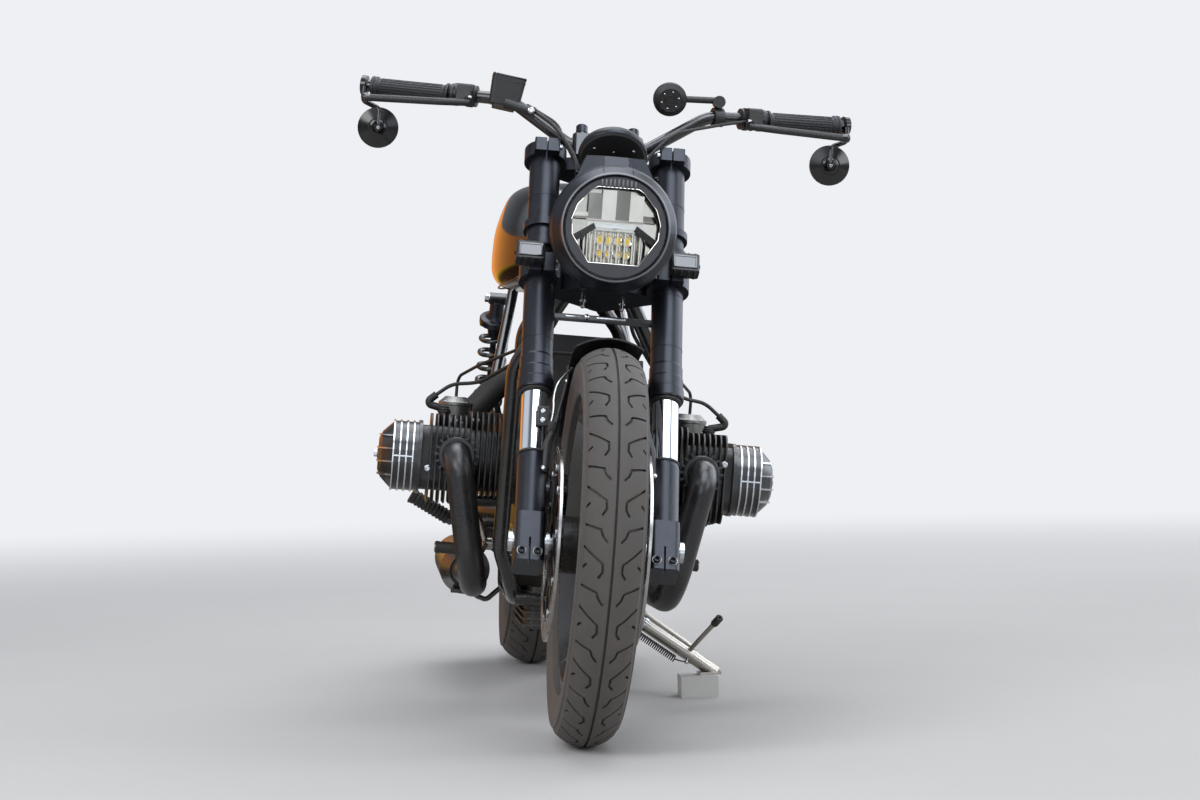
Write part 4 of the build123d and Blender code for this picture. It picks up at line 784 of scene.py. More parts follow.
@dataclass
class Tyre:
    """A tyre: a turned carcass under a tread band with a centre groove and hooked side grooves."""

    name: str
    node: str
    body: str
    at_y: float
    radius: float
    width: float
    seat: float
    pitches: int
    tread: float = 6.5
    groove: float = 5.2
    slot_width: float = 4.0
    cells: int = 26

    @property
    def crown(self) -> float:
        """The radius of the tread's round, mm."""
        return crown_radius(self.width / 2)

    @property
    def reach(self) -> float:
        """Half the tread's width, measured along its round."""
        return self.crown * math.asin(SHOULDER * self.width / 2 / self.crown)

    @property
    def pitch(self) -> float:
        """The length of one tread pattern along the crown."""
        return math.tau * self.radius / self.pitches

    def flat(self, x: float) -> float:
        """Gives the place along the tread's round of a point seen x across it."""
        return self.crown * math.asin(max(-0.999, min(0.999, x / self.crown)))

    def grooves(self) -> list[list[tuple[float, float]]]:
        """Lays out one pitch of side grooves, as (across, along) corners on one half of the tread.

        Returns:
            A slanted bolt, a hook and a short nick on the shoulder.
        """
        k, step = self.width / FRONT_W, self.pitch / 97.2
        runs = ([(58, 7), (43, 1), (21, -7), (17.6, -17), (10, -26)],
                [(58, -24), (43, -35), (15.5, -59), (14.7, -72), (21, -82)],
                [(39, -61), (47, -70)])
        return [[(self.flat(min(x, 50) * k) + max(x - 50, 0), y * step) for x, y in run] for run in runs]

    def cutter(self, run: Sequence[tuple[float, float]], along: float, side: int) -> bpy.types.Object:
        """Makes the blade that presses one groove: a line drawn down, then thickened."""
        line = chain("blade", [(side * u, v + along, -self.groove) for u, v in run])
        with editing(line):
            bpy.ops.mesh.extrude_region_move(TRANSFORM_OT_translate={"value": (0, 0, self.groove + 3)})
            bpy.ops.mesh.normals_make_consistent(inside=False)
        grown(line, "SOLIDIFY", thickness=self.slot_width, offset=0, use_even_offset=True)
        return line

    def band(self) -> bpy.types.Object:
        """Models one pitch of tread flat on the bench and cuts its grooves.

        Returns:
            The flat slab, its top at z = 0.
        """
        bpy.ops.object.select_all(action="DESELECT")
        bpy.ops.mesh.primitive_grid_add(x_subdivisions=self.cells, y_subdivisions=24, size=1, location=(0, 0, 0))
        slab_ = bpy.context.object
        with editing(slab_):
            bpy.ops.transform.resize(value=(2 * self.reach, self.pitch, 1), center_override=(0, 0, 0))
            bpy.ops.mesh.extrude_region_move(TRANSFORM_OT_translate={"value": (0, 0, -self.tread)})
            face_out()
        blades = [self.cutter([(0, -self.pitch), (0, self.pitch)], 0, 1)]
        for side in BOTH:
            for run in self.grooves():
                for along in (-0.5 * self.pitch, 0.5 * self.pitch, 1.5 * self.pitch):
                    low, high = min(v for _, v in run) + along, max(v for _, v in run) + along
                    if high > -0.5 * self.pitch - 3 and low < 0.5 * self.pitch + 3:
                        blades.append(self.cutter(run, along, side))
        for blade in blades:
            carved(slab_, blade)
        with editing(slab_, "FACE"):
            pick(slab_, faces=lambda f: abs(f.normal.y) > 0.99
                 and abs(abs(f.calc_center_median().y) - self.pitch / 2) < 0.05)
            bpy.ops.mesh.delete(type="FACE")
            pick(slab_, faces=lambda f: f.normal.z < -0.99 and f.calc_center_median().z < 0.2 - self.tread)
            bpy.ops.mesh.delete(type="FACE")
        return slab_

    def wrapped(self, flat: bpy.types.Object) -> bpy.types.Object:
        """Bends the flat band round the crown, and copies it round the wheel."""
        twins = []
        for n in range(self.pitches):
            twin = flat.copy()
            twin.data = flat.data.copy()
            bpy.context.scene.collection.objects.link(twin)
            for v in twin.data.vertices:
                angle = math.tau * (n + v.co.y / self.pitch) / self.pitches
                roll = v.co.x / self.crown
                out = self.radius - self.crown + (self.crown + v.co.z) * math.cos(roll)
                v.co = Vector(((self.crown + v.co.z) * math.sin(roll), self.at_y - out * math.cos(angle),
                               self.radius + out * math.sin(angle)))
            twins.append(twin)
        bpy.data.objects.remove(flat)
        whole = joined(self.name, *twins)
        with editing(whole):
            bpy.ops.mesh.remove_doubles(threshold=0.05)
        return whole

    def carcass(self) -> bpy.types.Object:
        """Turns the sidewalls with their rim-guard ribs, the beads and the inside."""
        half, side = self.width / 2, self.radius - BEAD_R
        wall, top = 0.09 * side, self.radius - DROP * half
        outer = [(self.radius - self.tread + 1.2, 0)]
        for n in range(1, 7):
            roll = self.reach / self.crown * n / 6
            less = self.crown - self.tread + 1.2
            outer.append((self.radius - self.crown + less * math.cos(roll), less * math.sin(roll)))
        edge = [(top + 0.4, 0.86 * half), (top - 3, 0.895 * half), (top - 6, 0.925 * half),
                (top - 7.5, 0.922 * half)]
        bulge = BEAD_R + 0.62 * side
        edge += [(bulge + 8, 0.985 * half), (bulge, half), (bulge - 9, 0.99 * half), (bulge - 18, 0.955 * half),
                 (BEAD_R + 24, 0.90 * half), (BEAD_R + 21, 0.905 * half), (BEAD_R + 17, 0.86 * half),
                 (BEAD_R + 15, self.seat + 2), (BEAD_R + 13.2, self.seat - 0.2), (BEAD_R + 0.2, self.seat - 0.2),
                 (BEAD_R + 0.2, self.seat - wall), (bulge, half - wall), (top - wall, 0.76 * half),
                 (self.radius - 2 * wall, 0)]
        right = outer + edge
        outline = right + [(r, -x) for r, x in reversed(right[1:-1])]
        return lathe("carcass", stance((0, self.at_y, self.radius), (1, 0, 0)), outline, 96)

    def build(self) -> None:
        """Builds the tyre and puts it in place of its plain solid."""
        whole = joined(self.name, self.wrapped(self.band()), self.carcass())
        settle(whole, TYRE, self.body, 38, (self.node,))


@dataclass
class Wheel:
    """What is on a wheel besides its casting: the valve, and rings of hub bolts as (x, ring radius, size)."""

    name: str
    body: str
    at_y: float
    radius: float
    bolts: tuple[tuple[int, float, float], ...]

    def build(self) -> None:
        """Builds the valve and the bolts."""
        turn = math.radians(28)
        spot = Vector((0, self.at_y - math.cos(turn) * (BEAD_R - 26), self.radius + math.sin(turn) * (BEAD_R - 26)))
        inward = Vector((0.25, math.cos(turn), -math.sin(turn)))
        valve = lathe(f"{self.name}_valve", stance(spot, inward), [
            (0, -3), (7, -3), (7, 2), (4.2, 5), (4.2, 24), (3.4, 25), (3.4, 30), (4, 31), (4, 40), (3.2, 41.5),
            (0, 41.5)], 20)
        settle(valve, RUBBER, self.body)
        places = []
        for x, ring, size in self.bolts:
            for n in range(6):
                a = math.tau * (n + 0.5) / 6
                places.append((stance((x, self.at_y + ring * math.cos(a), self.radius + ring * math.sin(a)),
                                      (x, 0, 0)), size))
        Drawer.fit(f"{self.name}_hub_bolts", Head.SOCKET, places, PLATED, self.body)


@dataclass
class Brakes:
    """The front brakes: drilled rotors on floating bobbins, and the calipers' bolts, bleed nipples and pistons' covers.
    """

    holes: int = 36
    bobbins: int = 10
    hole_r: float = 4.2
    tilt: float = math.radians(24)

    def build(self) -> None:
        """Builds the rotors and the calipers' parts."""
        self.rotors()
        self.bobbin_sets()
        self.calipers()

    def rotors(self) -> None:
        """Turns both rotors with their carriers and drills their three rows of holes."""
        parts = []
        for side in BOTH:
            face = stance((side * DISC_X - DISC_T / 2, 0, FRONT_R), (1, 0, 0), (0, 1, 0))
            rings = lathe("rotor", face, [(DISC_R - 33, 0.4), (DISC_R - 33, DISC_T - 0.4), (DISC_R - 32.6, DISC_T),
                                          (DISC_R - 0.4, DISC_T), (DISC_R, DISC_T - 0.4), (DISC_R, 0.4),
                                          (DISC_R - 0.4, 0), (DISC_R - 32.6, 0)], 96)
            drills = []
            for n in range(self.holes):
                a = math.tau * n / self.holes
                ring = DISC_R - 8 - 8.5 * (n % 3)
                bpy.ops.object.select_all(action="DESELECT")
                bpy.ops.mesh.primitive_cylinder_add(vertices=12, radius=self.hole_r, depth=20,
                                                    location=(ring * math.cos(a), ring * math.sin(a), 0))
                bpy.ops.object.transform_apply()
                drills.append(bpy.context.object)
            drill = joined("drills", *drills)
            drill.data.transform(face)
            parts.append(carved(rings, drill))
        settle(joined("drilled_rotors", *parts), DISC_STEEL, "front_wheel", 30, ("front_discs",))
        arms = []
        for side in BOTH:
            face = stance((side * DISC_X - 2, 0, FRONT_R), (1, 0, 0), (0, 1, 0))
            arms.append(lathe("carrier", face, [(36, 0), (66, 0), (68, 1), (68, 3), (66, 4), (36, 4)], 60))
            for n in range(self.bobbins):
                a = math.tau * (n + 0.5) / self.bobbins
                b = a + 0.14
                foot, tip = Vector((math.cos(a), math.sin(a), 0)) * 62, Vector((math.cos(b), math.sin(b), 0)) * 122
                arm = slab("arm", stance((foot + tip) / 2, (0, 0, 1), tip - foot), ((tip - foot).length, 13, 4), 1)
                arm.data.transform(face)
                arms.append(arm)
        settle(joined("rotor_carriers", *arms), BLACK_OXIDE, "front_wheel", 30)

    def bobbin_sets(self) -> None:
        """Turns the bobbins that let the rotors float on their carriers."""
        made = []
        for side in BOTH:
            for n in range(self.bobbins):
                b = math.tau * (n + 0.5) / self.bobbins + 0.14
                spot = (side * DISC_X - 4.4, math.cos(b) * 124, FRONT_R + math.sin(b) * 124)
                made.append(lathe("bobbin", stance(spot, (1, 0, 0)), [
                    (3.4, 0), (7.6, 0), (7.6, 1.2), (6, 2), (6, 6.8), (7.6, 7.6), (7.6, 8.8), (3.4, 8.8)], 18))
        settle(joined("rotor_bobbins", *made), PLATED, "front_wheel")

    def calipers(self) -> None:
        """Fits bridge bolts, bleed nipples and pistons' covers to the calipers."""
        bolts, pins = [], []
        for side in BOTH:
            out = Vector((side, 0, 0))
            along = Vector((0, math.cos(self.tilt), math.sin(self.tilt)))
            square = Vector((0, -math.sin(self.tilt), math.cos(self.tilt)))
            middle = Vector((side * (DISC_X + 26), 0, FRONT_R)) + along * (DISC_R - 22)
            for up in (-40, 40):
                bolts.append((stance(middle + square * up + along * 12, out), 5.2))
            for up in (-19, 19):
                pins.append(lathe("piston_cover", stance(middle + square * up - along * 2, out), [
                    (0, -1), (15, -1), (15, 1.4), (13.6, 2.4), (11, 2.4), (10.4, 1.4), (0, 1.4)], 36))
            top = middle + square * 50 + along * 8 - out * 16
            pins.append(lathe("bleed_nipple", stance(top, square), [
                (0, -1), (4, -1), (4, 5), (2.4, 6), (2.4, 11), (3.4, 12), (3.4, 17), (2.6, 18), (0, 18)], 16))
        Drawer.fit("caliper_bolts", Head.SOCKET, bolts, PLATED, "steering")
        settle(joined("caliper_covers", *pins), BLACK_OXIDE, "steering")


@dataclass
class Fork(Kit):
    """The fork's small parts: pinch bolts, seal rings, top caps, the brake line and the cable adjusters."""

    def build(self) -> None:
        """Builds every small part of the fork."""
        self.pinch_bolts()
        self.rings()
        self.caps()
        self.brake_line()
        self.adjusters()

    def pinch_bolts(self) -> None:
        """Screws the clamps' lugs and the axle feet together."""
        places, feet, seats = [], [], []
        for side in BOTH:
            ahead = (0, -math.cos(RAKE), math.sin(RAKE))
            for level in (CLAMP_LOW_S + 8, CLAMP_LOW_S - 8):
                places.append((stance(on_fork(side * (LEG_X - 23.2), -LEG_R - 9, level), (-side, 0, 0)), 4.6))
            places.append((stance(on_fork(side * (LEG_X - 22.2), -LEG_R - 9, CLAMP_TOP_S), (-side, 0, 0)), 4.8))
            for x in (-13, 13):
                foot = stance(on_fork(side * LEG_X + x, -31, -30), ahead)
                feet.append((foot, 6.0))
                seats.append(lathe("bolt_seat", foot, [
                    (6.6, 0), (8.2, 0), (8.2, 0.5), (7.6, 1.0), (6.6, 1.0)], 24))
        self.screw("pinch_bolts", Head.SOCKET, places)
        self.screw("axle_pinch_bolts", Head.SOCKET, feet, BLACK_OXIDE)
        self.gather("bolt_seats", seats, CAST_METAL)

    def rings(self) -> None:
        """Turns the dust seals, the wiper rings and the fine steps on the outer tubes."""
        seals, steps = [], []
        bore = SLIDER_R + 0.2
        for side in BOTH:
            seals.append(lathe("seal", on_leg(side, SEAL_S - 5), [
                (bore, 0), (25.5, 0), (27.5, 1.5), (27.5, 4.9), (bore, 4.9)], 48))
            seals.append(lathe("foot_seal", on_leg(side, FOOT_TOP_S), [
                (bore, 0.1), (25, 0.1), (25.2, 2.6), (24, 4.6), (bore, 5.2)], 48))
            for level in (SEAL_S + 96, CLAMP_LOW_S - 34, CLAMP_TOP_S - 92):
                steps.append(lathe("step", on_leg(side, level), [
                    (26.8, 0), (27.5, 0.5), (27.5, 2.6), (26.8, 3.1)], 60))
        self.gather("fork_seals", seals, RUBBER)
        self.gather("fork_tube_steps", steps, ANODISED)

    def caps(self) -> None:
        """Turns the legs' top caps and sets the adjusters' and the stem's nuts on them."""
        parts = []
        for side in BOTH:
            base = on_leg(side, CLAMP_TOP_S + 19.2)
            parts.append(lathe("top_cap", base, [(0, 0), (21, 0), (21, 2.4), (19.6, 3.6), (12, 3.6), (11.4, 4.4),
                                                 (8.4, 4.4)], 36))
        self.gather("fork_top_caps", parts, ANODISED)
        self.screw("fork_adjusters", Head.HEX, [
            (on_leg(side, CLAMP_TOP_S + 23.6), 7.5) for side in BOTH]
            + [(stance(on_fork(0, CLAMP_OFFSET, CLAMP_TOP_S + 23.4), UP_FORK), 14.5)])

    def brake_line(self) -> None:
        """Runs the bright steel line down beside the mudguard to its black bracket on the right leg."""
        line = pipe("brake_line", [(-52, 100, 615), (-66, 82, 602), (-80, 60, 584), (-84, 50, 562), (-82, 42, 541),
                                   (-86, 34, 522)], 2.2, 3, 8)
        self.hang(line, PLATED, 60)
        bracket = slab("line_bracket", stance(on_fork(-97, -25.5, FOOT_TOP_S + 62), (0, -1, 0.3), (1, 0, 0)),
                       (22, 34, 5), 1.2, 3)
        clip = slab("line_clip", stance((-84, 36, 524), (0, 0, -1), (1, 0, 0)), (12, 12, 16), 1.5)
        self.hang(joined("line_brackets", bracket, clip), NYLON)
        self.screw("bracket_bolts", Head.HEX, [
            (stance(on_fork(-97, -30.5, FOOT_TOP_S + 70), (0, -1, 0.3)), 3.6),
            (stance(on_fork(-97, -30.5, FOOT_TOP_S + 53), (0, -1, 0.3)), 3.6)])

    def adjusters(self) -> None:
        """Turns the knurled cable adjusters under the lower clamp."""
        made = []
        for x, back in ((-34, 20), (34, 22)):
            made.append(lathe("adjuster", stance(on_head(x, back, 17 - CLAMP_GAP - 37), -UP_FORK), [
                (0, -1), (4.4, -1), (4.4, 6), (5.6, 7), (5.6, 15), (4, 16.5), (4, 26), (2.6, 28), (0, 28)], 18))
        self.gather("cable_adjusters", made, PLATED)


@dataclass
class Headlamp(Kit):
    """The lamp's inside and rims: mirror flutes, diodes, the light bar, the face plate, bezel rings and screws.

    `dish` is the mirror's radius. A row of `flutes` is its count, half width, foot, head, bow, depth and the
    turn that sets neighbours apart. `window` is the face plate's opening, all in mm about the lamp's middle.
    """

    dish: float = 73.0
    flutes: tuple[tuple[int, float, float, float, float, float, float], ...] = (
        (6, 69, 13, 64, 0.2, -16, 1.1), (9, 54, -60, -8, 5, -27, 0))
    window: tuple[tuple[float, float], ...] = (
        (-74, 10), (-66, 34), (-44, 60), (-34, 66), (34, 66), (44, 60), (66, 34), (74, 10), (72, -16), (42, -61),
        (-42, -61), (-72, -16))

    def at(self, x: float, up: float, ahead: float) -> Vector:
        """Gives the machine's point at x, `up` above the lamp's middle and `ahead` of its face."""
        return LAMP_AT + Vector((x, -ahead, up))

    def plane(self, x: float, up: float, ahead: float) -> Matrix:
        """Gives the work plane there that looks straight ahead."""
        return stance(self.at(x, up, ahead), (0, -1, 0), (1, 0, 0))

    def build(self) -> None:
        """Builds the lamp's detail."""
        self.facets()
        self.bar()
        self.diodes()
        self.front()
        self.rims()

    def facets(self) -> None:
        """Folds the mirror into upright flutes: six broad flat ones above the bar, nine narrow ones below."""
        made = []
        for count, reach, low, high, bow, deep, yaw in self.flutes:
            step = 2 * reach / count
            for n in range(count):
                x = -reach + (n + 0.5) * step
                rim = math.sqrt(max(0, self.dish ** 2 - (abs(x) + step / 2) ** 2))
                cut, base = min(high, rim), max(low, -rim)
                turn = yaw * (-1) ** n * (1 + 0.35 * n)
                rows = [(x + step / 2 * k / 4, bow * (1 - (k / 4) ** 2) + turn * k / 4) for k in range(-4, 5)]
                line = chain("flute", [self.at(a, base, deep + b * 0.5) for a, b in rows])
                with editing(line):
                    for push in (-0.7, 0.7):
                        bpy.ops.mesh.extrude_region_move(
                            TRANSFORM_OT_translate={"value": (0, push, (cut - base) * 0.5)})
                    face_out()
                grown(line, "SOLIDIFY", thickness=0.6, offset=0)
                made.append(line)
        self.gather("lamp_flutes", made, METALLISED, 20)

    def bar(self) -> None:
        """Mills the milky light bar, which has a faint painted glow, and its bright carrier."""
        glow = slab("light_bar", self.plane(0, 3, -10.6), (92, 9, 3.5), 1.2, 1.2)
        self.hang(glow, DIFFUSER_PAINTED_GLOW)
        tray = slab("light_bar_tray", self.plane(0, 11.5, -10.8), (96, 3.2, 4.6), 0.8)
        self.hang(tray, METALLISED)

    def diodes(self) -> None:
        """Sets the unlit diodes with their yellow chips, which have a faint painted glow, before the lower flutes."""
        chips, cups = [], []
        for x in (-22, -8, 8, 22):
            for up, size in ((-20, 6.4), (-43, 4.2)):
                base = self.plane(x, up, -20.5)
                cups.append(lathe("cup", base, [(size + 0.6, 0), (size + 2.4, 5), (size + 3.0, 5), (size + 1.2, -0.6),
                                                (0, -0.6), (0, 0)], 20))
                chips.append(slab("chip", base, (size * 1.2, size * 1.7, 1.4), 0.5, 0.6))
        self.gather("diode_cups", cups, METALLISED)
        self.gather("diode_chips", chips, PHOSPHOR_PAINTED_GLOW)

    def front(self) -> None:
        """Cuts the dark face plate round the window, with its grille of short upright ribs."""
        hole = chain("hole", [self.at(x, up, 8.2) for x, up in self.window], closed=True)
        ring = chain("ring", [self.at(83.6 * math.cos(a), 83.6 * math.sin(a), 8.2)
                              for a in (math.tau * n / 72 for n in range(72))], closed=True)
        plate = joined("lamp_face_plate", hole, ring)
        with editing(plate, "EDGE"):
            bpy.ops.mesh.bridge_edge_loops()
            face_out()
        grown(plate, "SOLIDIFY", thickness=0.9, offset=0)
        ribs = [slab("grille_rib", stance(self.at(x, 74.4 - abs(x) * 0.03, 8.6), (0, -1, 0), (1, 0, 0)),
                     (3.0, 12.6 - abs(x) * 0.10, 2.2), 0.7) for x in (-28, -21, -14, -7, 0, 7, 14, 21, 28)]
        self.hang(plate, FACE_PLATE, 30)
        self.gather("lamp_grille", ribs, GRILLE_PAINT)

    def rims(self) -> None:
        """Turns the bezel's bright inner edge, its grooves and the seal behind it."""
        face = stance(LAMP_AT, (0, -1, 0), (1, 0, 0))
        ring = lathe("bezel_seal", face, [(84.2, 5.4), (86.2, 6.6), (87, 8.1), (88.6, 10.1), (90.4, 9.6), (91.6, 7.6),
                                          (91.4, 6.4), (88.2, 9.2), (86, 5.6)], 96)
        self.hang(ring, GRILLE_PAINT)
        groove = lathe("shell_rings", face, [(107.1, -35), (107.8, -36), (107.8, -39), (107.1, -40)], 96)
        self.hang(groove, ANODISED)
        trim = chain("window_trim", [self.at(x, up, 8.6) for x, up in self.window], closed=True)
        alone(trim)
        bpy.ops.object.convert(target="CURVE")
        trim.data.bevel_depth, trim.data.bevel_resolution = 0.55, 1
        bpy.ops.object.convert(target="MESH")
        self.hang(trim, METALLISED)
        self.screw("bezel_screws", Head.SOCKET, [
            (stance(self.at(x, -99 + abs(x) * 0.2, -30), (0, -0.4, -1)), 3.2) for x in (-14, 14)],
            BLACK_OXIDE)


@dataclass
class Handlebar(Kit):
    """What is on the bar: grips, levers' ends, switches, mirrors, risers, reservoir and the round mount."""

    grip_in: float = 286.0
    grip_out: float = 428.0
    ribs: int = 20

    def build(self) -> None:
        """Builds every part on the bar."""
        self.grips()
        self.controls()
        self.mirrors()
        self.risers()
        self.reservoir()
        self.mount()

    def grips(self) -> None:
        """Moulds both grips: a flange, lengthwise ribs and a ringed end."""
        made = []
        length = self.grip_out - self.grip_in
        for side in BOTH:
            base = bar_stance(side, self.grip_in)
            made.append(lathe("grip", base, [
                (11.1, 0), (18, 0), (18.5, 1), (18.5, 3.5), (17.5, 4.5), (14.6, 7.5), (14.4, 10), (14.4, length - 15),
                (16, length - 13), (17.8, length - 11), (18, length - 8.5), (16.6, length - 7.5),
                (16.6, length - 6), (18, length - 5), (18, length - 1), (17, length), (11.1, length)], 40))
            for n in range(self.ribs):
                a = math.tau * n / self.ribs
                spot = base @ Matrix.Rotation(a, 4, "Z") @ shift(14.2, 0, 12)
                lay = spot @ Matrix.Rotation(math.radians(90), 4, "Y")
                rib = slab("rib", lay @ shift(-(length - 29) / 2, 0, -0.6), (length - 29, 2.2, 1.9), 0.6)
                made.append(rib)
        self.gather("ribbed_grips", made, GRIP_RUBBER, 40, ("grips",))

    def controls(self) -> None:
        """Fits the levers' ball ends, pivot bolts, adjuster wheels, switch buttons and clamp halves."""
        balls, screws, buttons, clamps = [], [], [], []
        for side in BOTH:
            tip = on_bar(side, 430) + Vector((0, -42, -26))
            before = on_bar(side, 300) + Vector((0, -50, -21))
            balls.append(lathe("ball", stance(tip, tip - before), [
                (0, -9), (5.5, -8.5), (6.6, -6), (6.8, -2), (8.2, 1), (8.6, 4), (7.4, 7.4), (4, 9.2), (0, 9.8)], 24))
            pivot = on_bar(side, 250) + Vector((0, -36, -9))
            screws.append((stance(pivot, (0, 0, 1)), 4.4))
            for x in (246, 272):
                at = bar_stance(side, x)
                clamps.append(lathe("clamp_band", at, [(11.2, -4), (19.8, -4), (20.4, -3), (20.4, 3), (19.8, 4),
                                                       (11.2, 4)], 36))
            for x, tall in ((246, 16), (258, 12), (268, 9)):
                at = on_bar(side, x)
                base = stance(at + Vector((0, 12, 14)), (0, 0.6, 0.8), (1, 0, 0))
                buttons.append(slab("button", base, (tall * 0.7, 9, 6), 1.2, 1.2))
            rim = bar_stance(side, 282)
            buttons.append(lathe("adjuster_ring", rim, [(11.2, -3), (17, -3), (17.8, -2), (17, -1), (17.8, 0),
                                                       (17, 1), (17.8, 2), (17, 3), (11.2, 3)], 30))
        self.gather("lever_ends", balls, POWDER_GLOSS)
        self.gather("switch_buttons", buttons, GLOSS_PLASTIC)
        self.gather("switch_clamps", clamps, ANODISED)
        self.screw("lever_pivots", Head.SOCKET, screws)

    def mirrors(self) -> None:
        """Turns the mirrors' glass, their rims and the pivot hubs on their backs."""
        glass, hubs, rims, nuts = [], [], [], []
        for side in BOTH:
            end = on_bar(side, 432)
            middle = Vector((side * 407, end.y - 34, end.z - 77))
            back = stance(middle, (0, 1, 0.1), (1, 0, 0))
            glass.append(lathe("glass", back @ shift(0, 0, 4.05), [
                (0, 0.3), (33.4, 0.1), (33.6, -0.6), (0, -0.6)], 64))
            rims.append(lathe("rim", back @ shift(0, 0, 4), [
                (33.7, -0.5), (33.7, 0.9), (34.6, 1.5), (35.8, 0.9), (36.3, -0.6)], 64))
            front = back @ shift(0, 0, -9) @ Matrix.Rotation(math.pi, 4, "Y")
            hubs.append(lathe("hub", front, [(0, 4.6), (6.4, 4.6), (7.4, 3.8), (7.6, 0.4), (12, 0.4), (12.6, -0.6),
                                             (17.6, -0.6)], 36))
            hubs.append(lathe("shell_ring", front, [(29.8, -5.9), (31.6, -6.2), (31.8, -5.2), (30, -4.9)], 64))
            nuts.append((front @ shift(0, 0, 4.6), 3.2))
        self.gather("mirror_glass", glass, SILVERED, 20)
        self.gather("mirror_rims", rims, GLOSS_PLASTIC)
        self.gather("mirror_hubs", hubs, GLOSS_PLASTIC)
        self.screw("mirror_screws", Head.SOCKET, nuts)

    def risers(self) -> None:
        """Caps the risers' posts and screws the bar down."""
        caps, screws = [], []
        for side in BOTH:
            base = stance(on_head(side * 46, 20, 76), UP_FORK)
            caps.append(lathe("riser_cap", base, [(0, 8.4), (5, 8.4), (5.4, 9.6), (9.4, 9.6), (10.4, 8.6), (10.6, -6),
                                                  (9.5, -6)], 30))
            for x in (-11, 11):
                for back in (-14, 14):
                    screws.append((stance(on_head(side * 46 + x, 20 + back, 58), UP_FORK), 3.4))
        self.gather("riser_caps", caps, ANODISED)
        self.screw("riser_screws", Head.SOCKET, screws, BLACK_OXIDE)

    def reservoir(self) -> None:
        """Lids the fluid reservoir, and fits its screws and hose bolt."""
        tilt = math.radians(7.7)
        base = stance(on_bar(-1, 187), (math.sin(tilt), 0, math.cos(tilt)), (1, 0, 0))
        lid = slab("reservoir_lid", base @ shift(0, 0, 36.5), (60.6, 50.6, 4.2), 1.4, 4)
        neck = slab("reservoir_rib", base @ shift(0, 0, 30), (60.0, 50.0, 1.2), 0.5)
        self.hang(joined("reservoir_lid", lid, neck), GLOSS_PLASTIC)
        self.screw("reservoir_screws", Head.SLOT, [
            (base @ shift(x, y, 40.6), 2.6) for x in (-24, 24) for y in (-19, 19)])
        eye = on_bar(-1, 187) + Vector((46, -42, -20))
        self.screw("hose_bolts", Head.HEX, [(stance(eye, (0, -1, 0)), 4.6)])

    def mount(self) -> None:
        """Dots the round device mount's face with its bright pins inside a ring."""
        face = stance(on_bar(1, 194) + Vector((-88, -8, 24)), (0, 1, 0.35), (1, 0, 0))
        front = face @ shift(0, 0, -9) @ Matrix.Rotation(math.pi, 4, "Y")
        ring = lathe("mount_ring", front, [(7.5, 0.2), (7.9, 1.4), (10, 1.4), (10.6, 0.2), (19.5, 0.2), (20, 1),
                                           (21.6, 0.6), (22, -0.4)], 48)
        self.hang(ring, NYLON)
        pins = [(front @ shift(15.5 * math.cos(a), 15.5 * math.sin(a), 0), 1.9)
                for a in (math.tau * n / 6 + 0.3 for n in range(6))]
        self.screw("mount_pins", Head.DOME, pins)


@dataclass
class Clock(Kit):
    """The round clock: printed dial, needle and its fixing screws."""

    radius: float = 52.0
    marks: int = 9

    def build(self) -> None:
        """Builds the dial and what is under the housing."""
        face = stance(on_head(0, -85, -37), (0, math.sin(math.radians(42)), math.cos(math.radians(42))), (1, 0, 0))
        plate = lathe("dial", face @ shift(0, 0, 4.1), [(0, 0.1), (44, 0.1), (44.6, 0.5), (51.4, 2.4),
                                                                       (51.8, 0)], 64)
        self.hang(plate, GLOSS_PLASTIC)
        ink = []
        for n in range(2 * self.marks - 1):
            a = math.radians(225 - 270 * n / (2 * self.marks - 2))
            long = 6 if n % 2 == 0 else 3.2
            spot = Vector((math.cos(a), math.sin(a), 0)) * (42 - long / 2)
            tick = slab("tick", face @ shift(*spot.xy, 4.2) @ Matrix.Rotation(a, 4, "Z"),
                        (long, 1.0, 0.35), 0.12)
            ink.append(tick)
            if n % 2 == 0:
                word = Vector((math.cos(a), math.sin(a), 0)) * 29
                bpy.ops.object.select_all(action="DESELECT")
                bpy.ops.object.text_add(location=(0, 0, 0))
                text = bpy.context.object
                text.data.body, text.data.size, text.data.extrude = str(n * 10), 7.5, 0.12
                text.data.align_x, text.data.align_y = "CENTER", "CENTER"
                bpy.ops.object.convert(target="MESH")
                text = bpy.context.object
                text.data.transform(face @ shift(*word.xy, 4.35))
                ink.append(text)
        self.gather("dial_print", ink, DIAL_INK)
        needle = slab("needle", face @ shift(0, 0, 5) @ Matrix.Rotation(math.radians(225), 4, "Z")
                      @ shift(14, 0, 0), (38, 1.6, 0.9), 0.3)
        hub = lathe("needle_hub", face @ shift(0, 0, 4.6), [(0, 2.4), (3.6, 2.2), (4.6, 1), (4.8, 0)], 24)
        self.hang(joined("needle", needle, hub), RED_LENS)
        under = face @ shift(0, 0, -12) @ Matrix.Rotation(math.pi, 4, "Y")
        self.screw("clock_screws", Head.DOME, [(under @ shift(x, -20, 0), 2.8) for x in (-34, 34)]
                   + [(under @ shift(0, -15, 0), 1.6)])
        groove = lathe("clock_band", face, [(58.2, -9.4), (59.4, -7.4), (60, -4), (59.8, -1.5), (59.2, -1), (58.6, -5)],
                       72)
        self.hang(groove, ANODISED)


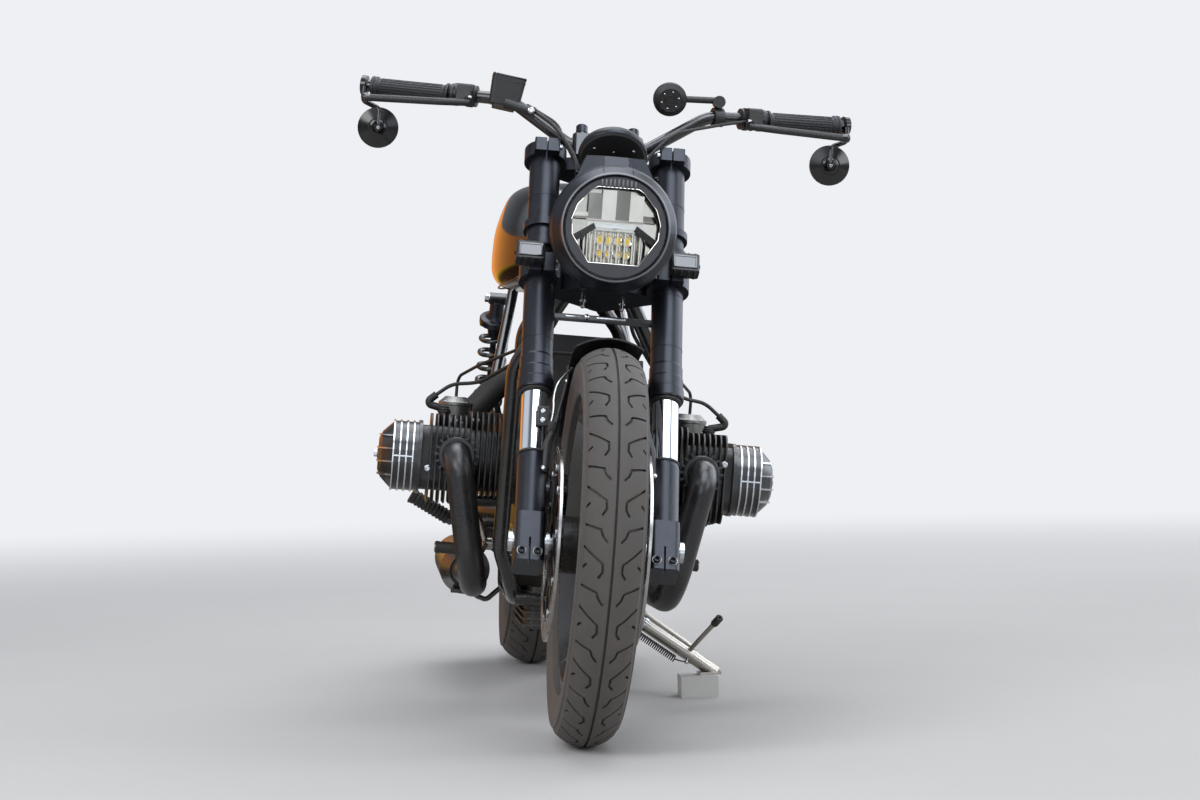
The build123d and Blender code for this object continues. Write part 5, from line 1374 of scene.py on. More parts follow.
@dataclass
class SideLamps(Kit):
    """The block-shaped side lamps: ribbed bodies, smoked lenses and end screws."""

    level: float = CLAMP_LOW_S + 8

    def build(self) -> None:
        """Builds the lenses, ribs and screws on both sides."""
        lenses, ribs, screws = [], [], []
        for side in BOTH:
            mid = on_fork(side * (LEG_X + 22), -LEG_R - 39.2, self.level + 0.5)
            face = stance(mid, -BACK_FORK, (1, 0, 0))
            lenses.append(slab("lens", face @ shift(0, 0, -1), (42, 25, 2.6), 1.0, 2))
            for n in range(4):
                for up, way in ((17, UP_FORK), (-16, -UP_FORK)):
                    spot = on_fork(side * (LEG_X + 22 + (n - 1.5) * 11.5), -LEG_R - 25, self.level + up)
                    ribs.append(slab("rib", stance(spot, way, (1, 0, 0)), (4, 26, 1.8), 0.6))
            screws.append((stance(on_fork(side * (LEG_X + 47), -LEG_R - 25, self.level), (side, 0, 0)), 4.4))
        self.gather("side_lamp_lenses", lenses, SMOKE_LENS)
        self.gather("side_lamp_ribs", ribs, NYLON)
        self.screw("side_lamp_screws", Head.DOME, screws, BLACK_OXIDE)


@dataclass
class Engine(Kit):
    """The engine's fasteners and fittings: nuts, screws, lids, plugs, the filler and carburettor parts."""

    body = "chassis"

    def build(self) -> None:
        """Builds the engine's detail."""
        self.cover_bolts()
        self.nose()
        self.head_bolts()
        self.carburettors()
        self.sump()
        self.sides()

    def cover_bolts(self) -> None:
        """Screws each valve cover on with one nut in its middle, on a turned seat."""
        nuts, rims = [], []
        for side in BOTH:
            y = cylinder_y(side)
            face = stance((side * COVER_X1, y, CRANK_Z), (side, 0, 0), (0, 1, 0))
            rims.append(lathe("nut_seat", face, [(0, 0.2), (8, 0.2), (8.4, 1), (10.4, 1), (11, 0.1), (11, -1)], 30))
            nuts.append((face @ shift(0, 0, 1), 6.4))
        self.gather("cover_nut_seats", rims, COVER_ENAMEL)
        self.screw("cover_nuts", Head.HEX, nuts)

    def nose(self) -> None:
        """Fits the front cover's screws and round cap, and the starter's lid with its screws."""
        places = []
        for x, z in ((-66, 540), (66, 540), (-68, 440), (68, 440), (-66, 345), (66, 345), (0, 558), (0, 322)):
            places.append((stance((x, CRANK_Y - 158, z), (0, -1, 0)), 5.0))
        self.screw("nose_screws", Head.SOCKET, places)
        plate = lathe("generator_cap", stance((0, CRANK_Y - 158, 440), (0, -1, 0)), [
            (0, 1), (30, 1), (33, 3), (50, 3), (53, 1.5), (54, -0.5)], 60)
        self.hang(plate, COVER_ENAMEL)
        lid = slab("starter_lid", shift(0, CRANK_Y - 30, 645), (150, 110, 8), 3, 10)
        self.hang(lid, COVER_ENAMEL)
        self.screw("starter_screws", Head.SOCKET, [
            (shift(x, CRANK_Y - 30 + y, 653), 4.2) for x in (-66, 66) for y in (-46, 46)])

    def head_bolts(self) -> None:
        """Bolts the heads down and tops the plugs' caps with their boots' rings."""
        places, boots = [], []
        for side in BOTH:
            y = cylinder_y(side)
            for dy in (-55, 55):
                for dz in (-44, 44):
                    places.append((stance((side * (COVER_X0 - 0.5), y + dy, CRANK_Z + dz), (side, 0, 0)), 5.6))
            boots.append(lathe("boot", stance((side * 246, y + 22, CRANK_Z + 84), (0, 0, 1)), [
                (9.2, 0), (12.4, 0.5), (12.6, 3), (10.4, 4.5), (11.4, 6.5), (9.4, 8.5), (9.2, 8)], 26))
        self.screw("head_bolts", Head.HEX, places)
        self.gather("plug_boots", boots, RUBBER)

    def carburettors(self) -> None:
        """Fits the carburettors' top screws, hose bands, bowl flanges and drain plugs."""
        screws, bands, bowls = [], [], []
        for side in BOTH:
            y = cylinder_y(side) + 64
            for n in range(4):
                a = math.tau * (n + 0.5) / 4
                spot = Vector((side * CARB_X + 29 * math.cos(a), y + 74 + 29 * math.sin(a), CARB_Z + 59))
                screws.append((Matrix.Translation(spot), 3.0))
            for dy, bore in ((34, 24.2), (104, 25.2), (114, 25.2)):
                bands.append(lathe("band", stance((side * CARB_X, y + dy - 4, CARB_Z), (0, 1, 0)), [
                    (bore, 0), (27.4, 0), (27.8, 1), (27.8, 7), (27.4, 8), (bore, 8)], 40))
            bowls.append(lathe("drain_plug", stance((side * CARB_X, y + 74, CARB_Z - 58), (0, 0, -1)), [
                (0, 8), (6, 8), (7, 7), (7, 3), (10, 2), (10, 0), (0, 0)], 6))
            bowls.append(slab("bowl_flange", stance((side * CARB_X, y + 74, CARB_Z - 24), (0, 0, 1)), (52, 60, 5),
                              1.6))
        self.screw("carburettor_screws", Head.SLOT, screws)
        self.gather("hose_bands", bands, PLATED)
        self.gather("float_bowl_parts", bowls, CAST_METAL)

    def sump(self) -> None:
        """Fits the sump's bolts, the drain plug and the oil filler."""
        places = [(stance((x, CRANK_Y + 10 + y, 146), (0, 0, -1)), 5) for x in (-62, 62) for y in (-104, -35, 35, 104)]
        self.screw("sump_bolts", Head.HEX, places, BLACK_OXIDE)
        plug = lathe("drain_plug", stance((0, CRANK_Y + 60, 146), (0, 0, -1)), [
            (0, 7), (9, 7), (10, 6), (10, 2), (15, 2), (15, 0), (0, 0)], 6)
        filler = lathe("oil_filler", stance((104, CRANK_Y + 112, 520), (1, 0, 0)), [
            (0, 11), (10, 11), (14, 10), (15, 8), (14.4, 5), (15, 2), (18, 1.5), (18, -1)], 30)
        self.hang(joined("oil_plugs", plug, filler), CAST_METAL)

    def sides(self) -> None:
        """Lids the crankcase's flat sides, straps the battery box and seats a bright stud by each exhaust port."""
        lids, screws, straps = [], [], []
        for side in BOTH:
            for y, z, wide, tall in ((-30, 592, 120, 52), (20, 296, 190, 66)):
                face = stance((side * 103.6, CRANK_Y + y, z), (side, 0, 0), (0, 1, 0))
                lids.append(slab("side_lid", face, (wide, tall, 3.4), 1.4, 6))
                screws += [(face @ shift(dx * (wide / 2 - 10), dy * (tall / 2 - 10), 2.4), 3.6)
                           for dx in BOTH for dy in BOTH]
            for y in (-6, 64):
                strap = stance((side * 74.6, PIVOT_Y + y, 535), (side, 0, 0), (0, 1, 0))
                straps.append(slab("strap", strap, (16, 196, 2.6), 0.8))
                straps.append(slab("buckle", strap @ shift(0, side * 60, 2), (21, 26, 2.6), 0.9, 3))
        self.gather("case_side_lids", lids, COVER_ENAMEL)
        self.gather("box_straps", straps, RUBBER)
        self.screw("side_lid_screws", Head.SOCKET, screws)
        self.screw("port_studs", Head.HEX, [
            (stance((x, CRANK_Y - math.copysign(STAGGER, x) - 88, z), (0, -1, 0)), 4.6)
            for x, z in ((-271, 421), (266, 468))])


@dataclass
class Exhaust(Kit):
    """The exhaust's clamps, the rings in its nuts and the silencers' end caps."""

    body = "chassis"

    def build(self) -> None:
        """Builds the clamps, bolts and caps on both sides."""
        bands, bolts, caps = [], [], []
        for side in BOTH:
            x = side * SILENCER_X
            base = stance((x, PIVOT_Y + 22, SILENCER_Z), (0, 1, 0))
            bands.append(lathe("clamp", base, [(29.5, 0), (32.6, 0), (33, 1), (33, 13), (32.6, 14), (31, 14)], 40))
            bolts.append((stance((x, PIVOT_Y + 29, SILENCER_Z - 37), (0, 0, -1)), 4.4))
            bands.append(slab("clamp_ear", stance((x, PIVOT_Y + 29, SILENCER_Z - 30), (0, 0, -1)), (16, 12, 7), 1.2))
            end = stance((x, WHEELBASE + 50, SILENCER_Z), (0, 1, 0))
            caps.append(lathe("end_cap", end, [(26.2, 4), (27.5, 5.4), (40, 5), (42.4, 4), (43, 2.5), (42.6, 0)], 48))
            y = cylinder_y(side) - 100
            caps.append(lathe("nut_ring", stance((side * PORT_X, y - 19, PORT_Z), (0, -1, 0)), [
                (25.3, 0), (31, 0), (32.6, 1), (32.6, 3.4), (31, 4.6), (26, 4.6)], 40))
        self.gather("silencer_clamps", bands, BLACK_OXIDE)
        self.screw("clamp_bolts", Head.HEX, bolts)
        self.gather("silencer_caps", caps, EXHAUST_COAT)


@dataclass
class Bodywork(Kit):
    """The smooth tank with its cap, the padded seat with its seams, and the tail lamp's lens.

    `rows` are the tank's sections: how far along, half width, underside and crown. `pad_half` is half the sewn
    field's width, `pitch` the channels' spacing, `groove` their half width and `sunk` their depth. `pressure`
    is what stuffs the seat and `swell` how far it may move a point, in metres.
    """

    body = "chassis"

    rows: tuple[tuple[float, float, float, float], ...] = (
        (0.0, 78, 802, 924), (0.09, 122, 784, 948), (0.25, 166, 768, 963), (0.50, 184, 760, 970),
        (0.74, 170, 762, 965), (0.90, 138, 772, 946), (1.0, 98, 786, 920))
    tunnel: float = 44.0
    pad_half: float = 72.0
    pitch: float = 26.0
    groove: float = 2.6
    sunk: float = 3.6
    pressure: float = 4.0
    swell: float = 0.008

    def build(self) -> None:
        """Builds the bodywork."""
        self.tank()
        self.cap()
        self.seat()
        self.tail()

    def ring(self, part: float, half: float, low: float, top: float) -> list[Vector]:
        """Lays out one closed section of the tank.

        Args:
            part: how far along the tank it lies, from 0 to 1.
            half: the half width.
            low: the underside.
            top: the crown.

        Returns:
            Its corners, from the tunnel's left foot all the way round to the tunnel again.
        """
        y = TANK_Y0 + part * (TANK_Y1 - TANK_Y0)
        side = [(self.tunnel, low + 1), (0.60 * half + 4, low), (0.78 * half, low), (0.92 * half, low + 9),
                (0.985 * half, low + 27), (half, low + 46), (0.995 * half, (low + top) / 2 - 4),
                (0.965 * half, (low + top) / 2 + 20), (0.90 * half, top - 41), (0.80 * half, top - 19),
                (0.62 * half, top - 7.5), (0.34 * half, top - 2)]
        tunnel = [(30, low + 118), (self.tunnel, low + 96)]
        if part in (0.0, 1.0):
            tunnel = [(30, min(low + 98, top - 26)), (self.tunnel, min(low + 80, top - 36))]
        right = [(0, top)] + side[::-1] + tunnel[::-1]
        around = right + [(-x, z) for x, z in reversed(right[1:])]
        return [Vector((x, y, z)) for x, z in around]

    def tank(self) -> None:
        """Bridges the tank's sections, closes its ends and rounds it by subdivision."""
        rings = [chain("tank_ring", self.ring(*row), closed=True) for row in self.rows]
        shell = joined("fuel_tank_shell", *rings)
        with editing(shell, "EDGE"):
            bpy.ops.mesh.bridge_edge_loops()
            for y, pull in ((TANK_Y0, -1), (TANK_Y1, 1)):
                pick(shell, edges=lambda e: all(abs(v.co.y - y) < 0.01 for v in e.verts))
                bpy.ops.mesh.extrude_region_move(TRANSFORM_OT_translate={"value": (0, 0.01 * pull, 0)})
                bpy.ops.transform.resize(value=(0.92, 1, 0.92))
                bpy.ops.mesh.edge_face_add()
            face_out()
        grown(shell, "SUBSURF", levels=2, render_levels=2)
        self.hang(shell, TANK_LACQUER, 50, ("fuel_tank",))
        seam = []
        for side in BOTH:
            line = [(side * 0.90 * half, TANK_Y0 + part * (TANK_Y1 - TANK_Y0), low + 4.2)
                    for part, half, low, _ in self.rows]
            seam.append(pipe("seam", line, 1.6, 3, 8))
        self.gather("tank_seams", seam, POWDER_GLOSS, 60)

    def cap(self) -> None:
        """Turns the filler's ring and cap, with its grip and screws."""
        base = stance((0, TANK_Y0 + 150, 968), (0, 0, 1))
        ring = lathe("cap", base, [(0, 6), (12, 6), (13, 7), (24, 7), (25.5, 6), (25.5, 3), (31, 2.4), (33, 1),
                                   (33.5, -4), (33.5, -12), (0, -12)], 60)
        bar = slab("cap_grip", base @ shift(0, 0, 6), (44, 8, 4), 1.6)
        self.hang(joined("filler_cap", ring, bar), ANODISED)
        self.screw("cap_screws", Head.SOCKET, [
            (base @ Matrix.Rotation(math.tau * n / 6, 4, "Z") @ shift(29, 0, 1.6), 1.8)
            for n in range(6)])

    def pad_height(self, x: float, y: float) -> float:
        """Gives how far the seat's sewn channels draw its top in at a place, mm."""
        if abs(x) > self.pad_half + 10:
            return 0.0
        fold = abs(((y - SEAT_Y0) / self.pitch) % 1.0 - 0.5)
        channel = math.exp(-((0.5 - fold) * self.pitch / self.groove) ** 2) * (1 if abs(x) < self.pad_half else 0.4)
        border = math.exp(-((abs(x) - self.pad_half) / self.groove) ** 2)
        return self.sunk * max(channel, border)

    def seat(self) -> None:
        """Stuffs the seat: a slightly small pad is blown up under its hide, then its channels are drawn in."""
        low, tall = SEAT_RAIL_Z + 20.4, 48.0
        mid, length = (SEAT_Y0 + SEAT_Y1) / 2 + 4, SEAT_Y1 - SEAT_Y0
        pad = slab("seat_pad", shift(0, mid, low), (206, length - 18, tall - 10), 14)
        with editing(pad, "FACE"):
            pick(pad, faces=lambda f: f.calc_center_median().z > low + 24)
            bpy.ops.transform.resize(value=(0.93, 0.985, 1), center_override=(0, mid, low))
        grown(pad, "REMESH", mode="VOXEL", voxel_size=5.0)
        pad.data.transform(Matrix.Scale(0.001, 4))
        before = [v.co.copy() for v in pad.data.vertices]
        alone(pad)
        cloth = pad.modifiers.new("stuffing", "CLOTH")
        cloth.settings.use_pressure, cloth.settings.uniform_pressure_force = True, self.pressure
        cloth.settings.effector_weights.gravity = 0.0
        cloth.settings.quality = 4
        for step in range(1, 16):
            bpy.context.scene.frame_set(step)
        alone(pad)
        bpy.ops.object.modifier_apply(modifier=cloth.name)
        bpy.context.scene.frame_set(1)
        for v, was in zip(pad.data.vertices, before):
            move = v.co - was
            if move.length > self.swell:
                v.co = was + move * (self.swell / move.length)
        pad.data.transform(Matrix.Scale(1000, 4))
        for v in pad.data.vertices:
            v.co.z = max(v.co.z, low + 0.1)
        grown(pad, "SUBSURF", levels=1, render_levels=1)
        for v in pad.data.vertices:
            if v.co.z > low + tall * 0.45:
                v.co.z -= self.pad_height(v.co.x, v.co.y)
            v.co.z = min(max(v.co.z, low), low + tall + 3)
        self.hang(pad, HIDE, 60, ("seat",))
        welts = []
        for side in BOTH:
            welts.append(pipe("welt", [(side * 104, SEAT_Y0 + 34, low + 30), (side * 109, mid - 60, low + 31),
                                       (side * 109, mid + 80, low + 31), (side * 104, SEAT_Y1 - 34, low + 30)], 1.8,
                              3, 8))
        self.gather("seat_welts", welts, THREAD, 60)

    def tail(self) -> None:
        """Caps the tail lamp's tube and rings its lens."""
        made = []
        for side in BOTH:
            made.append(lathe("tail_end", stance((side * 52, WHEELBASE + 11, SEAT_RAIL_Z), (side, 0, 0)), [
                (0, 3), (7, 3), (9, 1.5), (9.8, 0), (9.8, -6), (9.2, -6)], 30))
        for n in range(12):
            made.append(lathe("lens_rib", stance((-41 + n * 7.2, WHEELBASE + 11, SEAT_RAIL_Z), (1, 0, 0)), [
                (8.9, 0), (9.5, 0.6), (9.5, 2), (8.9, 2.6)], 30))
        self.gather("tail_lamp_parts", made, SMOKE_LENS)


@dataclass
class Shock(Kit):
    """The rear spring and damper: coil, threaded body with its collars, bump rubber and end nuts."""

    body = "chassis"

    wire: float = 5.0
    coil_r: float = 27.5
    turns: float = 8.5

    def build(self) -> None:
        """Builds the shock in place of its plain solid."""
        run = SHOCK_TOP - SHOCK_LOW
        base = stance(SHOCK_LOW, run, (1, 0, 0))
        length = run.length
        low, high = 56.0, length - 62
        count = int(self.turns * 14)
        points = []
        for n in range(count + 1):
            a = math.tau * self.turns * n / count
            z = low + (high - low) * n / count
            points.append(base @ Vector((self.coil_r * math.cos(a), self.coil_r * math.sin(a), z)))
        coil = pipe("shock_coil", points, self.wire, 3, 8)
        self.hang(coil, POWDER_GLOSS, 60)
        body = lathe("shock_body", base, [
            (0, 4), (13, 4), (15, 8), (15, 30), (24, 34), (33, 36), (33.5, 38), (33.5, 46), (32, 48), (20, 50),
            (19.5, 54), (19.5, 120), (17, 122), (11, 124), (6.5, 126), (6.5, length - 90), (13, length - 88),
            (15, length - 70), (24, length - 60), (33, length - 58), (33.5, length - 56), (33.5, length - 46),
            (32, length - 44), (22, length - 42), (15, length - 30), (15, length - 8), (13, length - 4),
            (0, length - 4)], 40)
        threads = [lathe("thread", base, [(19.3, 56 + n * 3), (20.1, 56.8 + n * 3), (20.1, 57.4 + n * 3),
                                          (19.3, 58.2 + n * 3)], 32) for n in range(20)]
        whole = joined("shock_body", body, *threads)
        self.hang(whole, ANODISED, 32, ("rear_shock",))
        bump = lathe("bump_rubber", base, [
            (6.6, 150), (12, 152), (13, 158), (11, 163), (13, 168), (12, 176), (6.6, 178)], 30)
        self.hang(bump, RUBBER)
        self.screw("shock_nuts", Head.HEX, [
            (stance((-150.5, SHOCK_LOW.y, SHOCK_LOW.z), (-1, 0, 0)), 8.5),
            (stance((-154.5, SHOCK_TOP.y, SHOCK_TOP.z), (-1, 0, 0)), 8.5)])


@dataclass
class SideStand(Kit):
    """The stand's return spring and its hooks, the pivot's nut and the rubber tip on its tang."""

    body = "side_stand"

    def axes(self) -> tuple[Vector, Vector, Vector]:
        """Gives the stand's reach, its sideways direction and its swing axis."""
        foot = PARKED.inverted() @ Vector(((STAND_FOOT.x - MIDDLE[0]) / 1000, (STAND_FOOT.y - MIDDLE[1]) / 1000,
                                           STAND_FOOT.z / 1000))
        reach = foot - STAND_PIVOT
        swing = reach.cross(Vector((0, 1, 0))).normalized()
        return reach, swing.cross(reach.normalized()), swing

    def build(self) -> None:
        """Builds the stand's parts."""
        reach, across_, swing = self.axes()
        ahead = reach.normalized()

        def spot(x: float, y: float, z: float) -> Vector:
            """Gives a point by its place along, across and above the stand."""
            return STAND_PIVOT + ahead * x + across_ * y + swing * z

        turns, start, end, radius = 22, 34.0, 128.0, 6.2
        points = [spot(20, -15, -17), spot(27, -15, -19)]
        for n in range(turns * 10 + 1):
            a = math.tau * n / 10
            x = start + (end - start) * n / (turns * 10)
            points.append(spot(x, -14 + radius * math.cos(a), -22 + radius * math.sin(a)))
        points += [spot(136, -15, -20), spot(146, -12, -16), spot(150, -8, -12)]
        self.hang(pipe("stand_spring", points, 1.3, 3, 6), BLACK_OXIDE, 60)
        pin = lathe("spring_pin", stance(spot(150, -4, -6), spot(150, -14, -20) - spot(150, -4, -6)), [
            (0, 12.5), (3.6, 12.5), (3.8, 11.5), (2.8, 10.5), (2.8, 0), (0, 0)], 20)
        post = lathe("spring_eye", stance(spot(8, -12, -13), -swing), [
            (0, 7), (4, 7), (4.4, 6), (3, 5), (3, 0), (0, 0)], 20)
        collar = lathe("stand_collar", stance(spot(40, 0, 0), ahead), [
            (13.1, 0), (14.6, 0.6), (14.6, 7.4), (13.1, 8)], 40)
        self.hang(joined("stand_fittings", pin, post, collar), PLATED)
        tang = spot(139, -118, 88)
        way = tang - spot(143, -8, 9)
        tip = lathe("tang_tip", stance(tang - way.normalized() * 24, way), [
            (4.6, 0), (7, 1), (7.4, 4), (6.6, 6), (7.4, 8), (6.6, 10), (7.4, 12), (6.8, 20), (7.6, 24), (5, 27),
            (0, 28)], 24)
        self.hang(tip, RUBBER)
        self.screw("stand_nut", Head.HEX, [(stance(spot(0, 0, 13.6), swing), 7.5),
                                           (stance(spot(0, 0, -13.6), -swing), 7.5)])


@dataclass
class Trim(Kit):
    """The rest: mudguard screws, the brace between the legs, the cowl's seams, peg and pedal rubbers."""

    def build(self) -> None:
        """Builds the trim."""
        self.guard()
        self.brace()
        self.cowl()
        self.pegs()

    def guard(self) -> None:
        """Screws the mudguard to its stays."""
        screws = []
        for side in BOTH:
            screws.append((stance(on_fork(side * 60, -12, 296), (side, 0, 0)), 4.2))
            screws.append((stance(on_fork(side * 93, -19.5, FOOT_TOP_S - 30), (side * 0.3, -1, 0.4)), 4.6))
        self.screw("guard_screws", Head.DOME, screws)

    def brace(self) -> None:
        """Braces the legs under the lower clamp with a thin plate that guides the hoses."""
        at = stance((0, 201, 702), (0, -1, 0), (1, 0, 0))
        plate = slab("brace", at, (170, 13, 4), 1.2)
        self.hang(plate, POWDER_GLOSS)
        strips = [slab("strip", at @ shift(x, 2.5, 3.6), (wide, 3.6, 1.4), 0.5)
                  for x, wide in ((-52, 24), (14, 50))]
        self.gather("brace_strips", strips, PLATED)
        self.screw("brace_bolt", Head.DOME, [(at @ shift(-28, 3, 4), 5.4)])

    def cowl(self) -> None:
        """Sets the hex screws on the cowl's shoulders and its centre panel's edge lines."""
        middle = LAMP_AT
        lines = [pipe("crease", [(side * 26, middle.y + 13.8, middle.z + 96),
                                 (side * 20.6, middle.y + 67.6, middle.z + 118)], 0.5, 2, 6) for side in BOTH]
        self.gather("cowl_creases", lines, ANODISED, 60)
        self.screw("cowl_screws", Head.SOCKET, [
            (stance((x, middle.y + 58, middle.z + 92), (math.copysign(0.86, x), -0.45, 0.2)), 3.4)
            for x in (-67, 67)], BLACK_OXIDE)

    def pegs(self) -> None:
        """Sleeves the footpegs and the pedals with ribbed rubber."""
        made = []
        for side in BOTH:
            foot, tip = Vector((side * 208, PIVOT_Y - 109, 318)), Vector((side * 292, PIVOT_Y - 109, 361))
            base = stance(foot.lerp(tip, 0.1), tip - foot)
            row = [(12.1, 0), (14, 0.5)]
            for n in range(9):
                row += [(14.4, 3 + n * 8), (14.4, 6.5 + n * 8), (12.8, 7.2 + n * 8), (12.8, 9.6 + n * 8)]
            row += [(14.4, 76), (14.4, 80), (15.6, 81), (15.6, 84), (13, 85.5), (12.1, 85.5)]
            made.append(lathe("peg_rubber", base, row, 30))
            pedal = stance((side * 206, CRANK_Y, 276), (side, 0, 0))
            made.append(lathe("pedal_rubber", pedal, [(9.1, 0), (11, 0.5), (11.4, 3), (10.4, 8), (11.4, 13), (10.4, 18),
                                                      (11.4, 23), (10.4, 28), (11.4, 33), (11.4, 38), (9.1, 39)], 24))
        settle(joined("peg_rubbers", *made), RUBBER, "chassis")


@dataclass
class Studio:
    """The pale floor and backdrop, the soft lights and the camera that stands where the photographer stood.

    `panels` are soft lights that only shiny surfaces see: the way to each, the angles at which it is full and
    gone, and its power over `gloom`. `behind_glass` scales and lifts that for rays that went through the lamp.
    """

    distance: float = 4.4
    across: float = -0.328
    height: float = 0.563
    yaw: float = 4.83
    pitch: float = 0.0
    roll: float = 1.25
    focal: float = 2707 / 1200 * 36
    floor_colour: str = "#c4c4c5"
    wall_colour: str = "#eef0f4"
    ambient: float = 0.62
    gloom: float = 0.22
    behind_glass: tuple[float, float] = (0.27, 0.24)
    panels: tuple[tuple[tuple[float, float, float], float, float, float], ...] = (
        ((0.22, -0.50, 0.83), 12, 30, 7.0), ((-0.80, 0.05, 0.55), 14, 34, 0.7), ((0.85, 0.15, 0.45), 14, 32, 4.0),
        ((0.75, 0.62, 0.15), 10, 26, 2.4), ((-0.15, -0.98, 0.15), 8, 26, 3.2), ((0.62, -0.75, 0.10), 6, 20, 1.6),
        ((0.0, 0.30, 0.95), 14, 34, 3.0))

    def build(self) -> None:
        """Sets the whole stage."""
        bpy.context.scene.view_settings.view_transform = "Standard"
        self.floor()
        self.world()
        self.lights()
        self.warm_wall()
        self.camera()

    def floor(self) -> None:
        """Lays the pale floor, which fades into the backdrop's colour far off."""
        bpy.ops.object.select_all(action="DESELECT")
        bpy.ops.mesh.primitive_circle_add(vertices=64, radius=40, fill_type="NGON", location=(0, 0, 0))
        ground = bpy.context.object
        ground.name = "studio_floor"
        finish = Finish("pale studio floor", "", self.floor_colour, "#cbcbcc", roughness=0.88, blotch=700,
                        grain=4.0, depth=0.25, extra={"Specular IOR Level": 0.0})
        dress(ground, finish)
        tree = finish.build().node_tree
        shader = tree.nodes["Principled BSDF"]
        where = put(tree, "ShaderNodeTexCoord").outputs["Object"]
        reach = put(tree, "ShaderNodeVectorMath", {0: where}, operation="LENGTH").outputs["Value"]
        far = ramp(tree, reach, 1.8, 8.0, soft=True)
        wall = put(tree, "ShaderNodeEmission", {0: linear(self.wall_colour), 1: 1.0})
        path = put(tree, "ShaderNodeLightPath")
        both = maths(tree, "MULTIPLY", far, path.outputs["Is Camera Ray"])
        mix = put(tree, "ShaderNodeMixShader", {0: both, 1: shader.outputs[0], 2: wall.outputs[0]})
        tree.links.new(mix.outputs[0], tree.nodes["Material Output"].inputs[0])

    def world(self) -> None:
        """Makes the surround: soft grey light, soft panels for what shines, and a pale wall for the camera."""
        world = bpy.data.worlds.new("pale surround")
        bpy.context.scene.world = world
        world.use_nodes = True
        tree = world.node_tree
        back = tree.nodes["Background"]
        back.inputs[0].default_value = linear(self.wall_colour)
        back.inputs[1].default_value = self.ambient
        way = put(tree, "ShaderNodeTexCoord").outputs["Generated"]
        total = None
        for aim, inner, outer, power in self.panels:
            toward = put(tree, "ShaderNodeVectorMath", {0: way, 1: Vector(aim).normalized()},
                         operation="DOT_PRODUCT").outputs["Value"]
            glow = ramp(tree, toward, math.cos(math.radians(outer)), math.cos(math.radians(inner)), 0.0, power,
                        soft=True)
            total = maths(tree, "ADD", glow, total if total else self.gloom)
        shine = put(tree, "ShaderNodeBackground", {0: linear("#e4ebf6"), 1: total})
        seen = put(tree, "ShaderNodeBackground", {0: linear(self.wall_colour), 1: 1.0})
        path = put(tree, "ShaderNodeLightPath")
        dim = maths(tree, "MULTIPLY_ADD", total, *self.behind_glass)
        through = put(tree, "ShaderNodeBackground", {0: linear("#e8edf4"), 1: dim})
        mix = back
        for key, shown in (("Is Glossy Ray", shine), ("Is Transmission Ray", through), ("Is Camera Ray", seen)):
            mix = put(tree, "ShaderNodeMixShader", {0: path.outputs[key], 1: mix.outputs[0], 2: shown.outputs[0]})
        tree.links.new(mix.outputs[0], tree.nodes["World Output"].inputs[0])

    def lights(self) -> None:
        """Hangs the soft boxes."""
        for name, place, aim, size, power in (
                ("key softbox", (-2.8, -3.6, 3.0), (0, -0.3, 0.5), 2.2, 95),
                ("fill softbox", (3.4, -2.8, 1.8), (0, -0.2, 0.5), 1.8, 40),
                ("top softbox", (0.2, 0.4, 4.2), (0, 0, 0.4), 3.0, 60),
                ("rear softbox", (2.2, 3.8, 3.4), (0, 0, 0.5), 2.4, 50)):
            lamp = bpy.data.lights.new(name, "AREA")
            lamp.shape, lamp.size, lamp.energy = "SQUARE", size, power
            thing = bpy.data.objects.new(name, lamp)
            bpy.context.scene.collection.objects.link(thing)
            thing.location = place
            thing.rotation_euler = (Vector(aim) - Vector(place)).to_track_quat("-Z", "Y").to_euler()

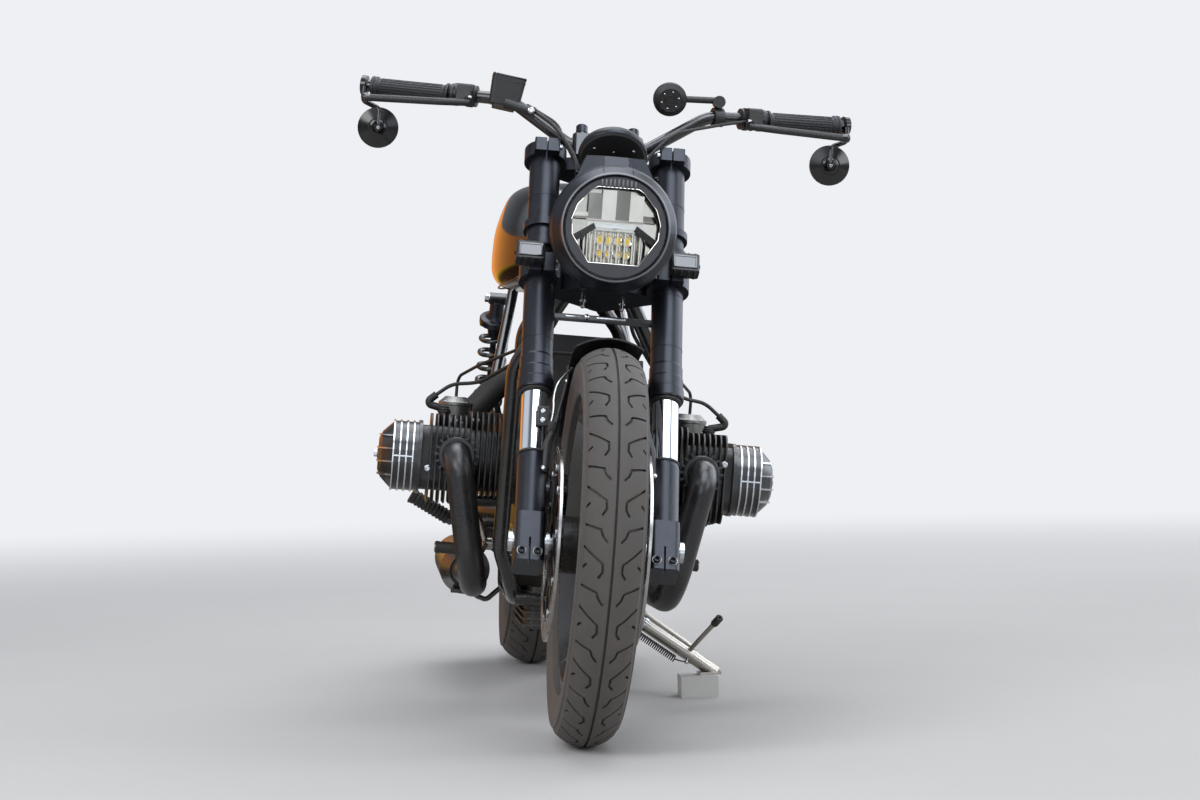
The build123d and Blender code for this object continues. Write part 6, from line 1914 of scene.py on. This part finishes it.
    def warm_wall(self) -> None:
        """Stands an orange wall on the rider's right that only shiny surfaces see; both its ends fade out."""
        arc = [math.radians(a) for a in range(84, 197, 8)]
        rows = [chain("arc", [Vector((radius * math.cos(a), radius * math.sin(a), z)) for a in arc])
                for radius, z in ((3.2, 1.52), (3.2, 0.30), (1.1, 0.02))]
        board = joined("warm_wall", *rows)
        with editing(board, "EDGE"):
            bpy.ops.mesh.bridge_edge_loops()
        mat = bpy.data.materials.new("orange wall for reflections")
        mat.use_nodes = True
        tree = mat.node_tree
        where = put(tree, "ShaderNodeTexCoord").outputs["Object"]
        apart = put(tree, "ShaderNodeSeparateXYZ", {0: where}).outputs
        height = apart["Z"]
        behind, ahead = [ramp(tree, apart[axis], end, full, soft=True)
                         for axis, end, full in (("X", 0.15, -0.75), ("Y", -0.93, 0.15))]
        low = blend(tree, ramp(tree, height, 0.20, 0.36), linear("#39281a"), linear("#a08420"))
        colour = blend(tree, ramp(tree, height, 0.40, 0.50), low, linear("#c47c3c"))
        glow = put(tree, "ShaderNodeEmission", {0: colour, 1: 2.0})
        clear = put(tree, "ShaderNodeBsdfTransparent")
        path = put(tree, "ShaderNodeLightPath")
        seen = maths(tree, "MULTIPLY", maths(tree, "MULTIPLY", behind, ahead), path.outputs["Is Glossy Ray"])
        mix = put(tree, "ShaderNodeMixShader", {0: seen, 1: clear.outputs[0], 2: glow.outputs[0]})
        tree.links.new(mix.outputs[0], tree.nodes["Material Output"].inputs[0])
        board.data.materials.append(mat)

    def camera(self) -> None:
        """Stands the camera at the photograph's viewpoint."""
        data = bpy.data.cameras.new("camera")
        data.sensor_fit, data.sensor_width, data.lens = "HORIZONTAL", 36.0, self.focal
        data.clip_end = 100
        thing = bpy.data.objects.new("camera", data)
        bpy.context.scene.collection.objects.link(thing)
        thing.location = (self.across - MIDDLE[0] / 1000, -self.distance - MIDDLE[1] / 1000, self.height)
        yaw, pitch = math.radians(self.yaw), math.radians(self.pitch)
        ahead = Vector((math.sin(yaw) * math.cos(pitch), math.cos(yaw) * math.cos(pitch), math.sin(pitch)))
        turn = ahead.to_track_quat("-Z", "Y").to_matrix() @ Matrix.Rotation(-math.radians(self.roll), 3, "Z")
        thing.rotation_euler = turn.to_euler()
        bpy.context.scene.camera = thing


def dress_solids() -> None:
    """Gives every carried-over solid its finish."""
    for name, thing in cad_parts.items():
        dress(thing, NODE_FINISHES[name])
        LOG.info("dressed %s", name)


def main() -> None:
    """Builds the stage and the machine's pieces in order."""
    Studio().build()
    dress_solids()
    for piece in (
            Tyre("front_tyre_tread", "front_tyre", "front_wheel", 0.0, FRONT_R, FRONT_W, 32.0, 21),
            Tyre("rear_tyre_tread", "rear_tyre", "rear_wheel", WHEELBASE, REAR_R, REAR_W, 42.0, 21),
            Wheel("front", "front_wheel", 0.0, FRONT_R, ((70, 52, 3.6), (-70, 52, 3.6))),
            Wheel("rear", "rear_wheel", WHEELBASE, REAR_R, ((46, 52, 5.0),)),
            Brakes(), Fork(), Headlamp(), Handlebar(), Clock(), SideLamps(), Engine(), Exhaust(), Bodywork(), Shock(),
            SideStand(), Trim()):
        LOG.info("building %s", type(piece).__name__)
        piece.build()
    Drawer.close()


if __name__ == "__main__":
    main()
